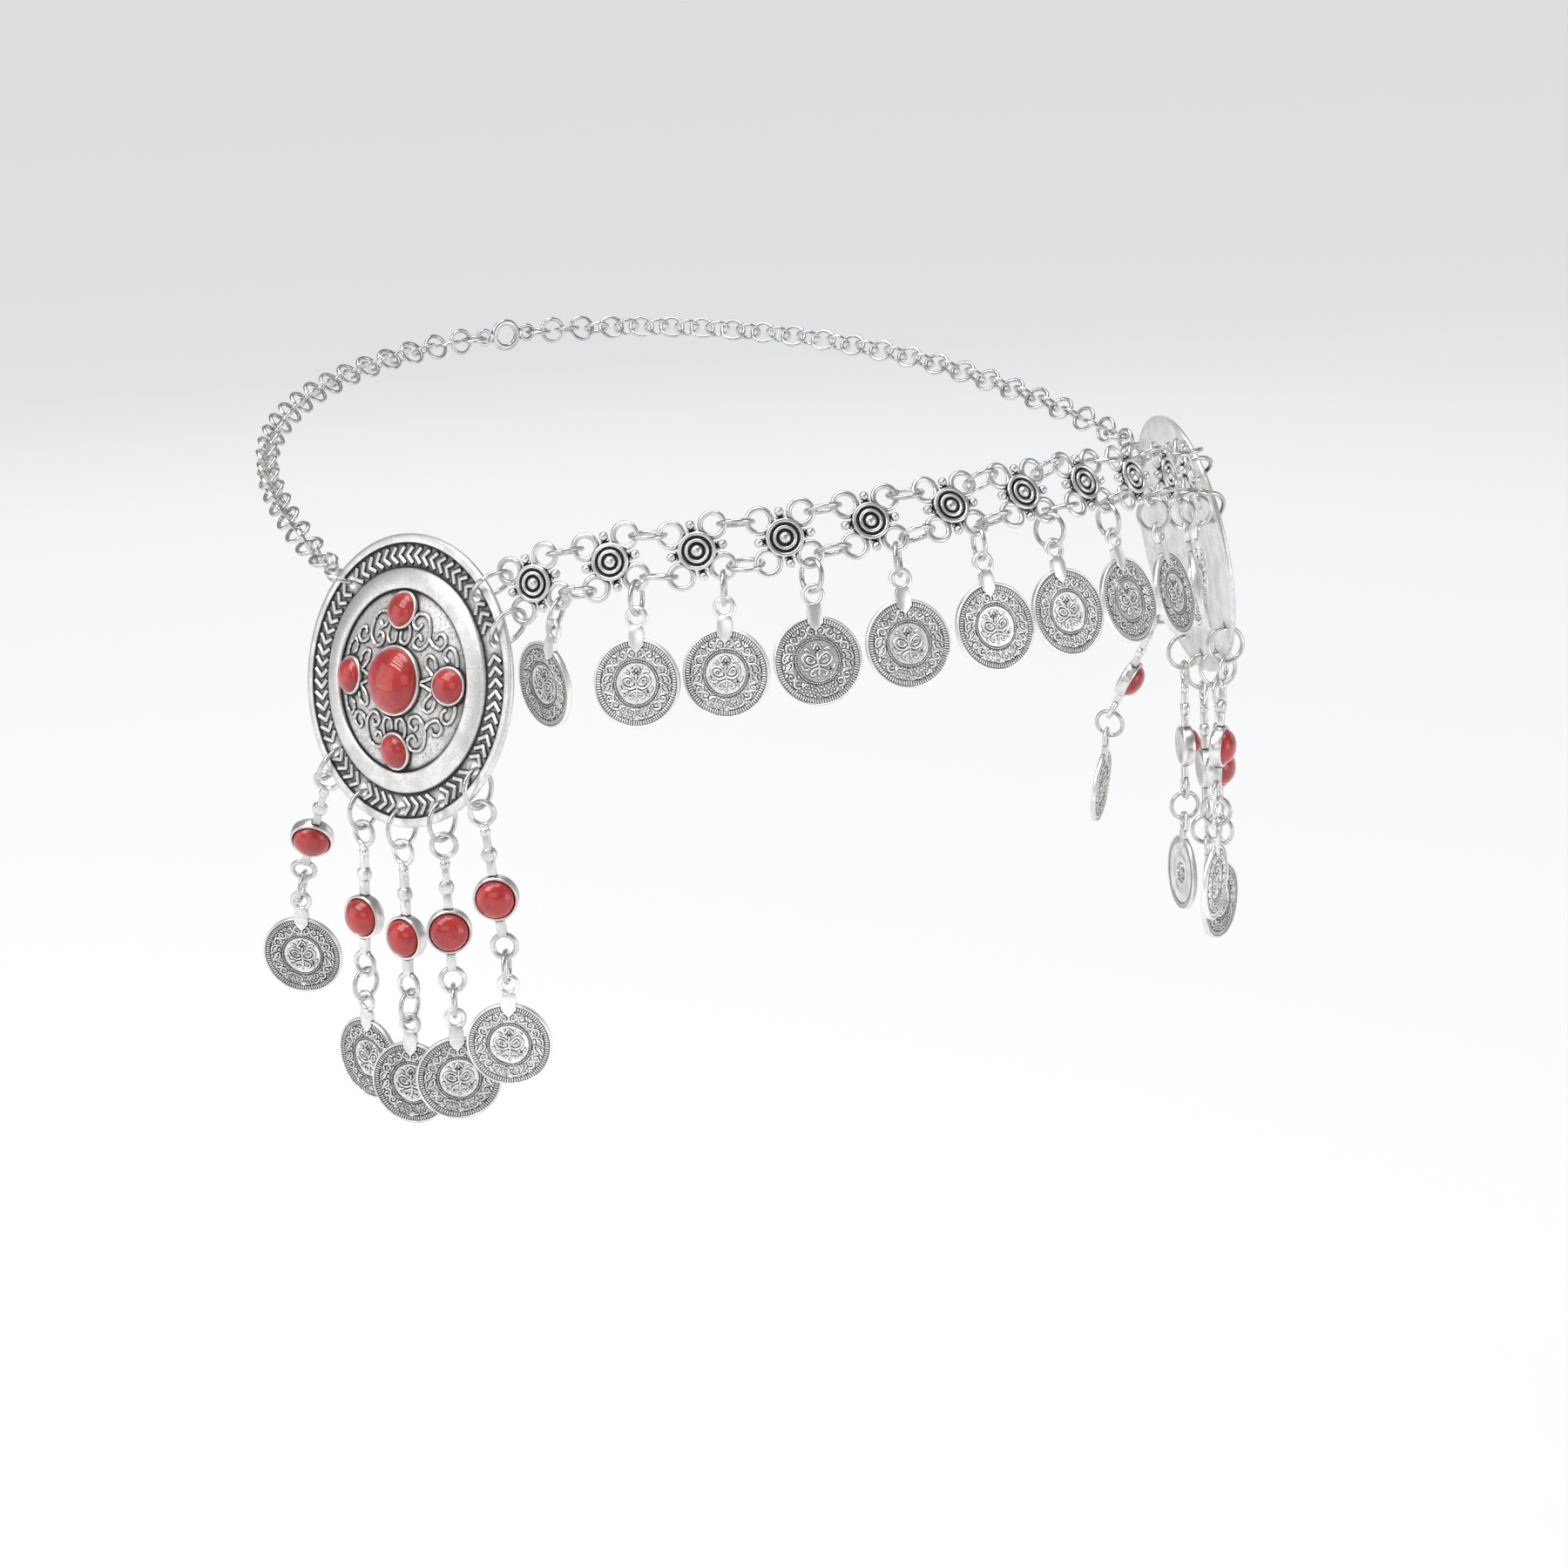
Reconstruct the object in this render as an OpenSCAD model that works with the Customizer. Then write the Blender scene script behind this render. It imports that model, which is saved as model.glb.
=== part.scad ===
// Coin head chain: a front band of flower connectors with a coin under each,
// a round domed medallion at each temple with five stone drops,
// and an open link chain that closes the loop behind the head.
// The wearer faces -Y, the wearer's left is +X and +Z is up.
// The origin is the middle of the head opening, level with the middle of the band.

/* [Head] */
// Radius of the band across the forehead
front_r = 93.4; // [85:0.1:105]
// Half length of the band that follows the forehead radius
front_half = 60; // [50:1:66]
// Radius of the band at the temples
temple_r = 77.7; // [70:0.1:90]
// Radius of the loop above the ears
side_r = 125; // [110:1:150]

/* [Band] */
// Number of flower connectors
connector_count = 12; // [12:1:12]
// Distance between the middles of two connectors
connector_pitch = 15.6; // [15.5:0.05:15.7]
// How far the band's ends hang below its middle
band_drop = 11.8; // [8:0.1:15]
// Distance of a corner loop's middle from the connector's middle, each way
loop_reach = 3.8; // [3.7:0.05:3.9]
// Outer diameter of a corner loop
loop_d = 5.2; // [5:0.1:5.4]
// Wire of a corner loop
loop_wire = 0.9; // [0.8:0.05:1]
// Thickness of a connector
connector_t = 1.2; // [1:0.1:1.4]

/* [Coins] */
// Diameter of a coin
coin_d = 16; // [15:0.1:17]
// Thickness of a coin
coin_t = 1.1; // [0.9:0.05:1.3]
// Height of a coin's eye above its upper edge
coin_eye_rise = 3.6; // [3.4:0.1:4]
// Outer diameter of a coin's eye
coin_eye_d = 4.4; // [4.2:0.1:4.6]
// Thickness of the eye's ring
coin_eye_wire = 1; // [0.9:0.05:1.1]

/* [Rings] */
// Wire of the jump rings
wire = 0.9; // [0.8:0.05:0.95]
// Middle diameter of the jump rings between two connectors
band_ring_d = 6.2; // [6.1:0.05:6.3]
// Middle diameter of the jump rings that carry the coins
ring_d = 5.9; // [5.8:0.05:6]
// Middle diameter of the longer rings that carry the drops
drop_ring_d = 7.2; // [7:0.1:7.4]
// Middle diameter of the rings that join the band to the medallions
end_ring_d = 7.4; // [7.3:0.05:7.5]
// Middle diameter of the rings that join the back chain to the medallions
chain_ring_d = 6.4; // [6.2:0.1:6.6]

/* [Medallions] */
// Diameter of a medallion
medallion_d = 54; // [53:0.5:55]
// Thickness of a medallion's plate
medallion_t = 1.2; // [1:0.1:1.4]
// Distance of the ring holes from the medallion's middle
hole_reach = 23.5; // [23.2:0.1:23.8]
// Diameter of the ring holes
ring_hole = 2.5; // [2.4:0.05:2.6]
// Diameter of the middle stone
middle_stone_d = 12; // [11:0.1:12.4]
// Diameter of the four small stones
small_stone_d = 6.2; // [5.8:0.1:6.6]
// Distance of the small stones from the middle
small_stone_reach = 12.9; // [12.7:0.1:13]

/* [Drops] */
// Distance between the two eyes of a stone bar
bar_length = 25.8; // [25:0.1:27]
// Outer diameter of a bar's eye
bar_eye_d = 5.4; // [5.2:0.1:5.6]
// Thickness of the eye's ring
bar_eye_wire = 1; // [0.9:0.05:1.1]
// Outer diameter of a bar's stone setting
bar_cup_d = 8.4; // [8:0.1:8.8]
// Diameter of a bar's stone
bar_stone_d = 7; // [6.6:0.1:7.2]

/* [Back chain] */
// Height of the chain behind the head
back_rise = 8; // [0:1:10]
// Middle diameter of a chain link
link_d = 4.9; // [4.7:0.05:5]
// Wire of a chain link
link_wire = 0.95; // [0.85:0.05:1]

/* [Hidden] */
$fn = 48;
silver = "silver";
dark_silver = "darkgray";
red = "firebrick";

// Small running gaps
seat_gap = 0.1;
ring_gap = 0.15;

// Plan of the loop: four arcs on each side, from the middle of the forehead
// to the middle of the back, given by radius and by heading at their ends
front_turn = front_half / front_r * 180 / PI;
temple_turn = 75.7;
side_turn = 101;
side_end_x = front_r * sin(front_turn) + temple_r * (sin(temple_turn) - sin(front_turn))
    + side_r * (sin(side_turn) - sin(temple_turn));
back_r = side_end_x / sin(side_turn);
ARC_R = [front_r, temple_r, side_r, back_r];
ARC_TURN = [0, front_turn, temple_turn, side_turn, 180];

function arc_length(i) = ARC_R[i] * (ARC_TURN[i + 1] - ARC_TURN[i]) * PI / 180;
function arc_step(i, turn) = ARC_R[i] * [
    sin(turn) - sin(ARC_TURN[i]),
    cos(ARC_TURN[i]) - cos(turn)
];
function arc_foot(i) = i == 0 ? [0, 0] : arc_foot(i - 1) + arc_step(i - 1, ARC_TURN[i]);
function arc_start(i) = i == 0 ? 0 : arc_start(i - 1) + arc_length(i - 1);
half_loop = arc_start(4);
half_depth = arc_foot(4)[1] / 2;

// Heading and place in plan at a length s along one half of the loop
function arc_at(s, i = 0) = i == 3 || s < arc_start(i + 1) ? i : arc_at(s, i + 1);
function turn_at(s) = let (i = arc_at(s)) ARC_TURN[i] + (s - arc_start(i)) / ARC_R[i] * 180 / PI;
function plan_at(s) = let (i = arc_at(s)) arc_foot(i) + arc_step(i, turn_at(s));
function heading(s) = sign(s) * turn_at(abs(s));
function loop_at(s) = let (p = plan_at(abs(s))) [sign(s) * p[0], p[1] - half_depth, 0];
function outward(h) = [sin(h), -cos(h), 0];
function along(h) = [cos(h), sin(h), 0];

// Turning matrices, and the pose of a flat piece: its X runs to the viewer's right
// as seen from outside, its Y up and its Z outward
function unit(v) = v / norm(v);
function turn_x(a) = [[1, 0, 0], [0, cos(a), -sin(a)], [0, sin(a), cos(a)]];
function turn_y(a) = [[cos(a), 0, sin(a)], [0, 1, 0], [-sin(a), 0, cos(a)]];
function turn_z(a) = [[cos(a), -sin(a), 0], [sin(a), cos(a), 0], [0, 0, 1]];
function facing(h, tilt = 0, spin = 0) = turn_z(h) * turn_x(90 - tilt) * turn_z(spin);
function column(m, i) = [m[0][i], m[1][i], m[2][i]];

// A place is a point and a turning matrix
function spot(place, p) = place[0] + place[1] * p;
module put(place) {
    o = place[0];
    m = place[1];
    multmatrix([
        [m[0][0], m[0][1], m[0][2], o[0]],
        [m[1][0], m[1][1], m[1][2], o[1]],
        [m[2][0], m[2][1], m[2][2], o[2]],
        [0, 0, 0, 1]
    ]) children();
}

// How the twelve connectors and their coins lie on the head, from the wearer's
// right to the left: the connector's lift above the even curve, its tilt and its
// turn in its own plane, the roll of the two rings after it, and the coin's tilt,
// swing and heading with the roll of its ring. The last connector has no coin.
LIFT = 0;
TILT = 1;
TURN = 2;
TOP_ROLL = 3;
LOW_ROLL = 4;
COIN_TILT = 5;
COIN_SWING = 6;
COIN_YAW = 7;
COIN_ROLL = 8;
BAND = [
    // lift, tilt, turn, top, low, tilt, swing, yaw, roll
    [0.7, 10, 24, 12, 26, -12, -18, -30, 0],
    [1.4, 14, 17, 4, 10, 13, 1, -2, -6],
    [0.1, 13, 13, 18, -4, 12, 0, -12, 0],
    [-0.6, 16, 8.5, 22, 26, 15, 0, 2, 30],
    [-0.5, 27, 4.5, 2, 34, 17, 0, 2, -24],
    [-0.3, 32, 1.5, 42, 30, 18, 1, 2, -8],
    [0, 31, -2, 40, 14, 18, 0, 0, 20],
    [0.2, 28, -5, 6, 34, 17, 0, 5, -10],
    [0.1, 24, -8, 34, 26, 16, 0, 8, 12],
    [-0.1, 14, -11, 0, 4, 13, 0, 19, -10],
    [0.6, 14, -15, 14, -10, 1, 0, -3, 8],
    [0.7, 14, -24]
];

// Places of the connectors
band_end = (connector_count - 1) / 2 * connector_pitch;
end_slack = 0.7;
function band_s(i) = -band_end + i * connector_pitch
    + (i == 0 ? end_slack : i == connector_count - 1 ? -end_slack : 0);
function band_z(i) = -band_drop * pow(band_s(i) / band_end, 2) + BAND[i][LIFT];
function connector_place(i) = [
    loop_at(band_s(i)) + [0, 0, band_z(i)],
    facing(heading(band_s(i)), BAND[i][TILT], BAND[i][TURN])
];
function loop_spot(i, x, y) = spot(connector_place(i), [x * loop_reach, y * loop_reach, 0]);

// Places of the coins, each under the corner loop at the viewer's lower right
function rest_in(outer, eye_wire) = outer / 2 - eye_wire - wire / 2 - ring_gap;
loop_rest = 0.85;
eye_rest = rest_in(coin_eye_d, coin_eye_wire);
function coin_hang(i) = facing(heading(band_s(i)), BAND[i][COIN_TILT], BAND[i][COIN_SWING]);
function coin_place(i) = [
    loop_spot(i, 1, -1) - (loop_rest + ring_d + eye_rest) * column(coin_hang(i), 1),
    coin_hang(i) * turn_y(BAND[i][COIN_YAW])
];

// Places of the medallions: side is -1 at the wearer's right and 1 at the left
function medallion_x(side) = side < 0 ? 89.1 : 88.2;
medallion_y = -35;
medallion_z = -30.6;
medallion_heading = 72.6;
function medallion_tilt(side) = side < 0 ? 12.2 : 8;
medallion_spin = -3.1;
function medallion_place(side) = [
    [side * medallion_x(side), medallion_y, medallion_z],
    facing(side * medallion_heading, medallion_tilt(side), side * medallion_spin)
];
// Angles of the ring holes from the top, turning towards the wearer's face
CHAIN_HOLE = -44;
BAND_HOLES = [45, 68];
DROP_HOLES = [232, 206, 180, 154, 128];
function hole_point(side, a) = [-side * hole_reach * sin(a), hole_reach * cos(a), 0];
function hole_spot(side, a) = spot(medallion_place(side), hole_point(side, a));

// How the five drops hang, from the back to the front: how far the bar and its
// coin are turned from the medallion towards the face, and their tilt and lean
BAR_YAW = 0;
BAR_TILT = 1;
BAR_LEAN = 2;
HUNG_YAW = 3;
HUNG_TILT = 4;
HUNG_LEAN = 5;
DROPS = [
    // bar yaw, tilt, lean, coin yaw, tilt, lean
    [36, -12, -33, 30, -4, -8],
    [5, 1, -4, 0, -2, -3],
    [6, 1, -1, 22, 1, -2],
    [44, 0, 0, 46, 0, 0],
    [36, -5, 3, 36, 0, -3]
];
hole_rest = 0.2;
bar_rest = rest_in(bar_eye_d, bar_eye_wire);
function drop_hang(side, tilt, lean) = facing(side * medallion_heading, tilt, -side * lean);
function drop_place(side, i) = [
    hole_spot(side, DROP_HOLES[i]),
    drop_hang(side, DROPS[i][BAR_TILT], DROPS[i][BAR_LEAN])
];
function drop_spot(side, i, y) = spot(drop_place(side, i), [0, y, 0]);
bar_top_y = -hole_rest - drop_ring_d - bar_rest;
bar_low_y = bar_top_y - bar_length;
hung_ring_reach = bar_rest + ring_d + eye_rest;
function bar_place(side, i) = [
    drop_spot(side, i, bar_top_y),
    drop_place(side, i)[1] * turn_y(-side * DROPS[i][BAR_YAW])
];
function hung_ring_turn(side, i) = drop_hang(
    side,
    (DROPS[i][BAR_TILT] + DROPS[i][HUNG_TILT]) / 2,
    (DROPS[i][BAR_LEAN] + DROPS[i][HUNG_LEAN]) / 2
) * turn_y(-side * (DROPS[i][BAR_YAW] + DROPS[i][HUNG_YAW]) / 2);
function drop_coin_place(side, i) = [
    drop_spot(side, i, bar_low_y) - hung_ring_reach * column(hung_ring_turn(side, i), 1),
    drop_hang(side, DROPS[i][HUNG_TILT], DROPS[i][HUNG_LEAN]) * turn_y(-side * DROPS[i][HUNG_YAW])
];

// Route of the back chain, from a medallion's back hole to the middle of the back
chain_start = 128.5;
chain_settle = 50;
chain_stand = 0.8;
clasp_half = 5.2;
function ease(t) = let (u = min(max(t, 0), 1)) u * u * (3 - 2 * u);
function chain_spot(side, s) = let (
    h = turn_at(s),
    on_loop = loop_at(side * s) + chain_stand * outward(side * h),
    hole = hole_spot(side, CHAIN_HOLE),
    hole_loop = loop_at(side * chain_start) + chain_stand * outward(side * turn_at(chain_start)),
    pull = 1 - ease((s - chain_start) / chain_settle),
    rise = sin(90 * (s - chain_start) / (half_loop - chain_start)),
    z = hole[2] + (back_rise - hole[2]) * rise
) [
    on_loop[0] + pull * (hole[0] - hole_loop[0]),
    on_loop[1] + pull * (hole[1] - hole_loop[1]),
    z
];
link_first = chain_start + hole_rest + chain_ring_d + (link_d - wire - link_wire) / 2 - 3 * ring_gap;
link_last = half_loop - clasp_half - link_d / 2 - 0.2;
link_step = link_d - link_wire - 3 * ring_gap;
link_count = 2 * ceil(((link_last - link_first) / link_step + 1) / 2);
link_pitch = (link_last - link_first) / (link_count - 1);
link_roll = 45;
turn_links = 6;
function end_share(k) = max(0, 1 - k / turn_links, 1 - (link_count - 1 - k) / turn_links);
function roll_of(k) = (k % 2 == 0 ? 1 : -1) * link_roll + link_roll * end_share(k);

// A round ring of wire on the line from a to b, whose plane holds that line and
// the direction side: it crosses the line at the length rest behind a
module torus(d, w) { rotate_extrude($fn = 40) translate([d / 2, 0]) circle(d = w, $fn = 16); }
module ring_between(a, b, side, d, w, rest = undef) {
    u = unit(b - a);
    v = unit(side - (side * u) * u);
    n = cross(u, v);
    c = a + u * (rest == undef ? norm(b - a) / 2 : rest + d / 2);
    multmatrix([
        [u[0], v[0], n[0], c[0]],
        [u[1], v[1], n[1], c[1]],
        [u[2], v[2], n[2], c[2]],
        [0, 0, 0, 1]
    ]) torus(d, w);
}

// A flower connector: a round boss with two raised rings and a dome,
// four corner loops and four balls between them
boss_d = 6.7;
boss_ring_w = 0.5;
inner_ring_d = 4.5;
dome_d = 1.9;
ball_d = 1.6;
ball_reach = 4.7;
ball_neck = 0.9;
module flower_connector() {
    raised = connector_t / 2 + 0.35;
    union() {
        translate([0, 0, -connector_t / 2]) cylinder(d = boss_d, h = connector_t);
        difference() {
            cylinder(d = boss_d, h = raised);
            translate([0, 0, -1]) cylinder(d = boss_d - 2 * boss_ring_w, h = raised + 2);
        }
        difference() {
            cylinder(d = inner_ring_d, h = raised);
            translate([0, 0, -1]) cylinder(d = inner_ring_d - 2 * boss_ring_w, h = raised + 2);
        }
        translate([0, 0, connector_t / 2 - 0.2]) sphere(d = dome_d, $fn = 24);
        for (x = [-1, 1], y = [-1, 1])
            translate([x * loop_reach, y * loop_reach, 0]) torus(loop_d - loop_wire, loop_wire);
        for (a = [0:90:270])
            rotate(a) {
                translate([ball_reach, 0, 0.1]) sphere(d = ball_d, $fn = 24);
                translate([0, -ball_neck / 2, -ball_neck / 2])
                    cube([ball_reach, ball_neck, ball_neck]);
            }
    }
}

// A coin hung by its eye: the eye's middle is the origin, and the tongue
// that holds the eye reaches a little way onto the coin's face
rim_w = 0.4;
rim_rise = 0.15;
tongue_w = 2.6;
tongue_reach = 2.7;
module coin() {
    down = coin_eye_rise + coin_d / 2;
    top = coin_eye_wire - coin_eye_d / 2 - 0.2;
    union() {
        translate([0, -down, -coin_t / 2]) cylinder(d = coin_d, h = coin_t - rim_rise, $fn = 96);
        translate([0, -down, 0]) difference() {
            cylinder(d = coin_d, h = coin_t / 2, $fn = 96);
            translate([0, 0, -1]) cylinder(d = coin_d - 2 * rim_w, h = 3, $fn = 96);
        }
        torus(coin_eye_d - coin_eye_wire, coin_eye_wire);
        translate([0, 0, -coin_t / 2]) linear_extrude(coin_t) polygon([
            [-tongue_w / 2, top],
            [-tongue_w / 2, -coin_eye_rise - tongue_reach + 1],
            [0, -coin_eye_rise - tongue_reach],
            [tongue_w / 2, -coin_eye_rise - tongue_reach + 1],
            [tongue_w / 2, top]
        ]);
    }
}

// A stone cut as a low dome on a short straight girdle
module dome_stone(d, girdle, rise) {
    dome_r = (d * d / 4 + rise * rise) / (2 * rise);
    union() {
        cylinder(d = d, h = girdle);
        translate([0, 0, girdle]) intersection() {
            cylinder(d = d, h = rise + 1);
            translate([0, 0, rise - dome_r]) sphere(r = dome_r, $fn = 64);
        }
    }
}

// A medallion: a domed field in a plain ring, a chevron band and a rim, with stone
// settings that stand square on the dome, and the ring holes
rim_in = 25.3;
band_in = 20.6;
field_r = 16.8;
field_z = 1.1;
field_dome_r = 64;
setting_wall = 0.4;
function field_height(r) = field_z + sqrt(pow(field_dome_r, 2) - r * r)
    - sqrt(pow(field_dome_r, 2) - pow(field_r, 2));
module setting(d, h) {
    difference() {
        translate([0, 0, -0.6]) cylinder(d = d + 2 * setting_wall + 2 * seat_gap, h = h + 0.6);
        cylinder(d = d + 2 * seat_gap, h = h + 1);
    }
}
module on_small_seats()
    for (a = [0:90:270])
        rotate([0, 0, a]) translate([small_stone_reach, 0, field_height(small_stone_reach)])
            rotate([0, asin(small_stone_reach / field_dome_r), 0]) children();
module medallion(side) {
    r = medallion_d / 2;
    difference() {
        union() {
            rotate_extrude($fn = 128) polygon(concat(
                [for (x = [0:2.4:field_r]) [x, field_height(x) - medallion_t]],
                [
                    [band_in, -0.2],
                    [r, -medallion_t / 2],
                    [r, 0.3],
                    [r - 0.3, 0.5],
                    [rim_in, 0.6],
                    [rim_in, 0.3],
                    [band_in, 0.4],
                    [band_in, 0.8],
                    [band_in - 0.8, 1.2],
                    [field_r + 0.6, 1.7],
                    [field_r, 1.7]
                ],
                [for (x = [field_r:-2.4:0]) [x, field_height(x)]]
            ));
            translate([0, 0, field_height(0)]) setting(middle_stone_d, 0.5);
            on_small_seats() setting(small_stone_d, 0.7);
        }
        for (a = concat([CHAIN_HOLE], BAND_HOLES, DROP_HOLES))
            translate(hole_point(side, a) + [0, 0, -3]) cylinder(d = ring_hole, h = 6);
    }
}
module medallion_stones() {
    translate([0, 0, field_height(0) + seat_gap]) dome_stone(middle_stone_d, 0.4, 2.9);
    on_small_seats() translate([0, 0, seat_gap]) dome_stone(small_stone_d, 0.6, 1.6);
}

// A stone bar: upper eye at the origin, collar, disc, stone cup and lower eye
bar_t = 1.5;
stem_w = 1.8;
stem_end = 2.1;
collar_y = -3.9;
disc_y = -8;
cup_y = -16.3;
cup_t = 2.6;
module stone_bar() {
    difference() {
        union() {
            for (y = [0, -bar_length])
                translate([0, y, 0]) torus(bar_eye_d - bar_eye_wire, bar_eye_wire);
            translate([-stem_w / 2, stem_end - bar_length, -bar_t / 2])
                cube([stem_w, bar_length - 2 * stem_end, bar_t]);
            translate([0, collar_y, -bar_t / 2 - 0.1]) cylinder(d = 2.2, h = bar_t + 0.3);
            translate([0, disc_y, -bar_t / 2 - 0.1]) cylinder(d = 2.9, h = bar_t + 0.3);
            translate([0, cup_y, -cup_t / 2]) cylinder(d = bar_cup_d, h = cup_t);
        }
        translate([0, cup_y, -cup_t / 2 + 0.8]) cylinder(d = bar_stone_d + 2 * seat_gap, h = cup_t);
    }
}
module bar_stone() {
    translate([0, cup_y, -cup_t / 2 + 0.8 + seat_gap]) dome_stone(bar_stone_d, 1.6, 2.4);
}

// Groups of repeated pieces
module band_ring_group() {
    for (i = [0:connector_count - 2])
        for (y = [1, -1]) {
            mid = heading((band_s(i) + band_s(i + 1)) / 2);
            roll = BAND[i][y > 0 ? TOP_ROLL : LOW_ROLL];
            side = outward(mid) * cos(roll) + [0, 0, sin(roll)];
            ring_between(loop_spot(i, 1, y), loop_spot(i + 1, -1, y), side, band_ring_d, wire);
        }
}
module coin_ring_group() {
    for (i = [0:connector_count - 2]) {
        side = column(coin_hang(i) * turn_y(BAND[i][COIN_ROLL]), 2);
        ring_between(loop_spot(i, 1, -1), coin_place(i)[0], side, ring_d, wire, loop_rest);
    }
}
end_rest = 0.35;
module medallion_ring_group() {
    for (side = [-1, 1]) {
        i = side < 0 ? 0 : connector_count - 1;
        for (k = [0, 1])
            ring_between(loop_spot(i, side, 1 - 2 * k), hole_spot(side, BAND_HOLES[k]),
                column(medallion_place(side)[1], 2), end_ring_d, wire, end_rest);
        hole = hole_spot(side, CHAIN_HOLE);
        ring_between(hole, chain_spot(side, chain_start + 5),
            column(medallion_place(side)[1], 2), chain_ring_d, wire, hole_rest);
    }
}
module drop_ring_group(side) {
    for (i = [0:4]) {
        upper = drop_place(side, i)[1] * turn_y(-side * DROPS[i][BAR_YAW] / 8);
        ring_between(drop_spot(side, i, 0), drop_spot(side, i, bar_top_y),
            column(upper, 2), drop_ring_d, wire, hole_rest);
        ring_between(drop_spot(side, i, bar_low_y), drop_coin_place(side, i)[0],
            column(hung_ring_turn(side, i), 2), ring_d, wire, bar_rest);
    }
}
module back_chain(side) {
    for (k = [0:link_count - 1]) {
        s = link_first + k * link_pitch;
        a = chain_spot(side, s - 0.5);
        b = chain_spot(side, s + 0.5);
        roll = roll_of(k);
        h = side * turn_at(s);
        ring_between(a, b, outward(h) * cos(roll) + [0, 0, sin(roll)], link_d, link_wire);
    }
}

// The clasp: a flat hook ring with a small eye at each end, in one piece
module clasp() {
    t = 1.2;
    color(silver) translate([0, half_depth + chain_stand, back_rise]) rotate([90, 0, 0])
        difference() {
            translate([0, 0, -t / 2]) linear_extrude(t) union() {
                circle(d = 7);
                translate([-clasp_half, 0]) circle(d = 4);
                translate([clasp_half, 0]) circle(d = 4);
                square([2 * clasp_half, 1.8], center = true);
            }
            for (x = [-clasp_half, clasp_half])
                translate([x, 0, -t]) cylinder(d = 2.2, h = 2 * t);
            translate([0, 0, -t]) cylinder(d = 4, h = 2 * t);
        }
}

module connector(i) { color(silver) put(connector_place(i)) flower_connector(); }
module band_coin(i) { color(silver) put(coin_place(i)) coin(); }
module band_rings() { color(dark_silver) band_ring_group(); }
module coin_rings() { color(dark_silver) coin_ring_group(); }
module medallion_rings() { color(dark_silver) medallion_ring_group(); }
module medallion_of(side) { color(silver) put(medallion_place(side)) medallion(side); }
module medallion_stones_of(side) { color(red) put(medallion_place(side)) medallion_stones(); }
module drop_bar(side, i) { color(silver) put(bar_place(side, i - 1)) stone_bar(); }
module drop_stones(side) { color(red) for (i = [0:4]) put(bar_place(side, i)) bar_stone(); }
module drop_rings(side) { color(dark_silver) drop_ring_group(side); }
module drop_coins(side) { color(silver) for (i = [0:4]) put(drop_coin_place(side, i)) coin(); }
module back_chain_of(side) { color(dark_silver) back_chain(side); }

connector(0);  // connector_01
connector(1);  // connector_02
connector(2);  // connector_03
connector(3);  // connector_04
connector(4);  // connector_05
connector(5);  // connector_06
connector(6);  // connector_07
connector(7);  // connector_08
connector(8);  // connector_09
connector(9);  // connector_10
connector(10);  // connector_11
connector(11);  // connector_12
band_coin(0);  // coin_01
band_coin(1);  // coin_02
band_coin(2);  // coin_03
band_coin(3);  // coin_04
band_coin(4);  // coin_05
band_coin(5);  // coin_06
band_coin(6);  // coin_07
band_coin(7);  // coin_08
band_coin(8);  // coin_09
band_coin(9);  // coin_10
band_coin(10);  // coin_11
band_rings();
coin_rings();
medallion_rings();
medallion_of(-1);  // medallion_right
medallion_of(1);  // medallion_left
medallion_stones_of(-1);  // medallion_stones_right
medallion_stones_of(1);  // medallion_stones_left
drop_bar(-1, 1);  // drop_bar_right_1
drop_bar(-1, 2);  // drop_bar_right_2
drop_bar(-1, 3);  // drop_bar_right_3
drop_bar(-1, 4);  // drop_bar_right_4
drop_bar(-1, 5);  // drop_bar_right_5
drop_bar(1, 1);  // drop_bar_left_1
drop_bar(1, 2);  // drop_bar_left_2
drop_bar(1, 3);  // drop_bar_left_3
drop_bar(1, 4);  // drop_bar_left_4
drop_bar(1, 5);  // drop_bar_left_5
drop_stones(-1);  // drop_stones_right
drop_stones(1);  // drop_stones_left
drop_rings(-1);  // drop_rings_right
drop_rings(1);  // drop_rings_left
drop_coins(-1);  // drop_coins_right
drop_coins(1);  // drop_coins_left
back_chain_of(-1);  // back_chain_right
back_chain_of(1);  // back_chain_left
clasp();
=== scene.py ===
"""The looks of a coin head chain: a band of flower connectors with coins, two round
medallions with stone drops and a link chain that closes the loop behind the head.

Every sub-assembly is a class that repeats the placement of the construction model,
in millimetres, and puts a finely made piece where that model has its plain solid.
"""
import logging
import math
from dataclasses import dataclass
from enum import Enum
from typing import Sequence

import bmesh
import bpy
from mathutils import Matrix, Vector
from mathutils.geometry import interpolate_bezier


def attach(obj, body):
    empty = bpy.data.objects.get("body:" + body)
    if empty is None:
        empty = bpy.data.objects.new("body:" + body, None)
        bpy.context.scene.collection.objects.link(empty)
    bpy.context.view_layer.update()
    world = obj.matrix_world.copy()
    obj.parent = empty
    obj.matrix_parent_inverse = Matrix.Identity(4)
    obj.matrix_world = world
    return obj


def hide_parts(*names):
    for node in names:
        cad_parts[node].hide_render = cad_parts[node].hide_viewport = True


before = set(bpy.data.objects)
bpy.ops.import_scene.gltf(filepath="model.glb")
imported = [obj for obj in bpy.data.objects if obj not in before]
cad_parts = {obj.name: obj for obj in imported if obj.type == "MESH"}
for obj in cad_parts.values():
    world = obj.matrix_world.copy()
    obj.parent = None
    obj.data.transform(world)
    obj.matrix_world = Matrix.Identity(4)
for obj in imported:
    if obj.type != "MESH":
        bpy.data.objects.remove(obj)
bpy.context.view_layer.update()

log = logging.getLogger("head_chain")

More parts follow.
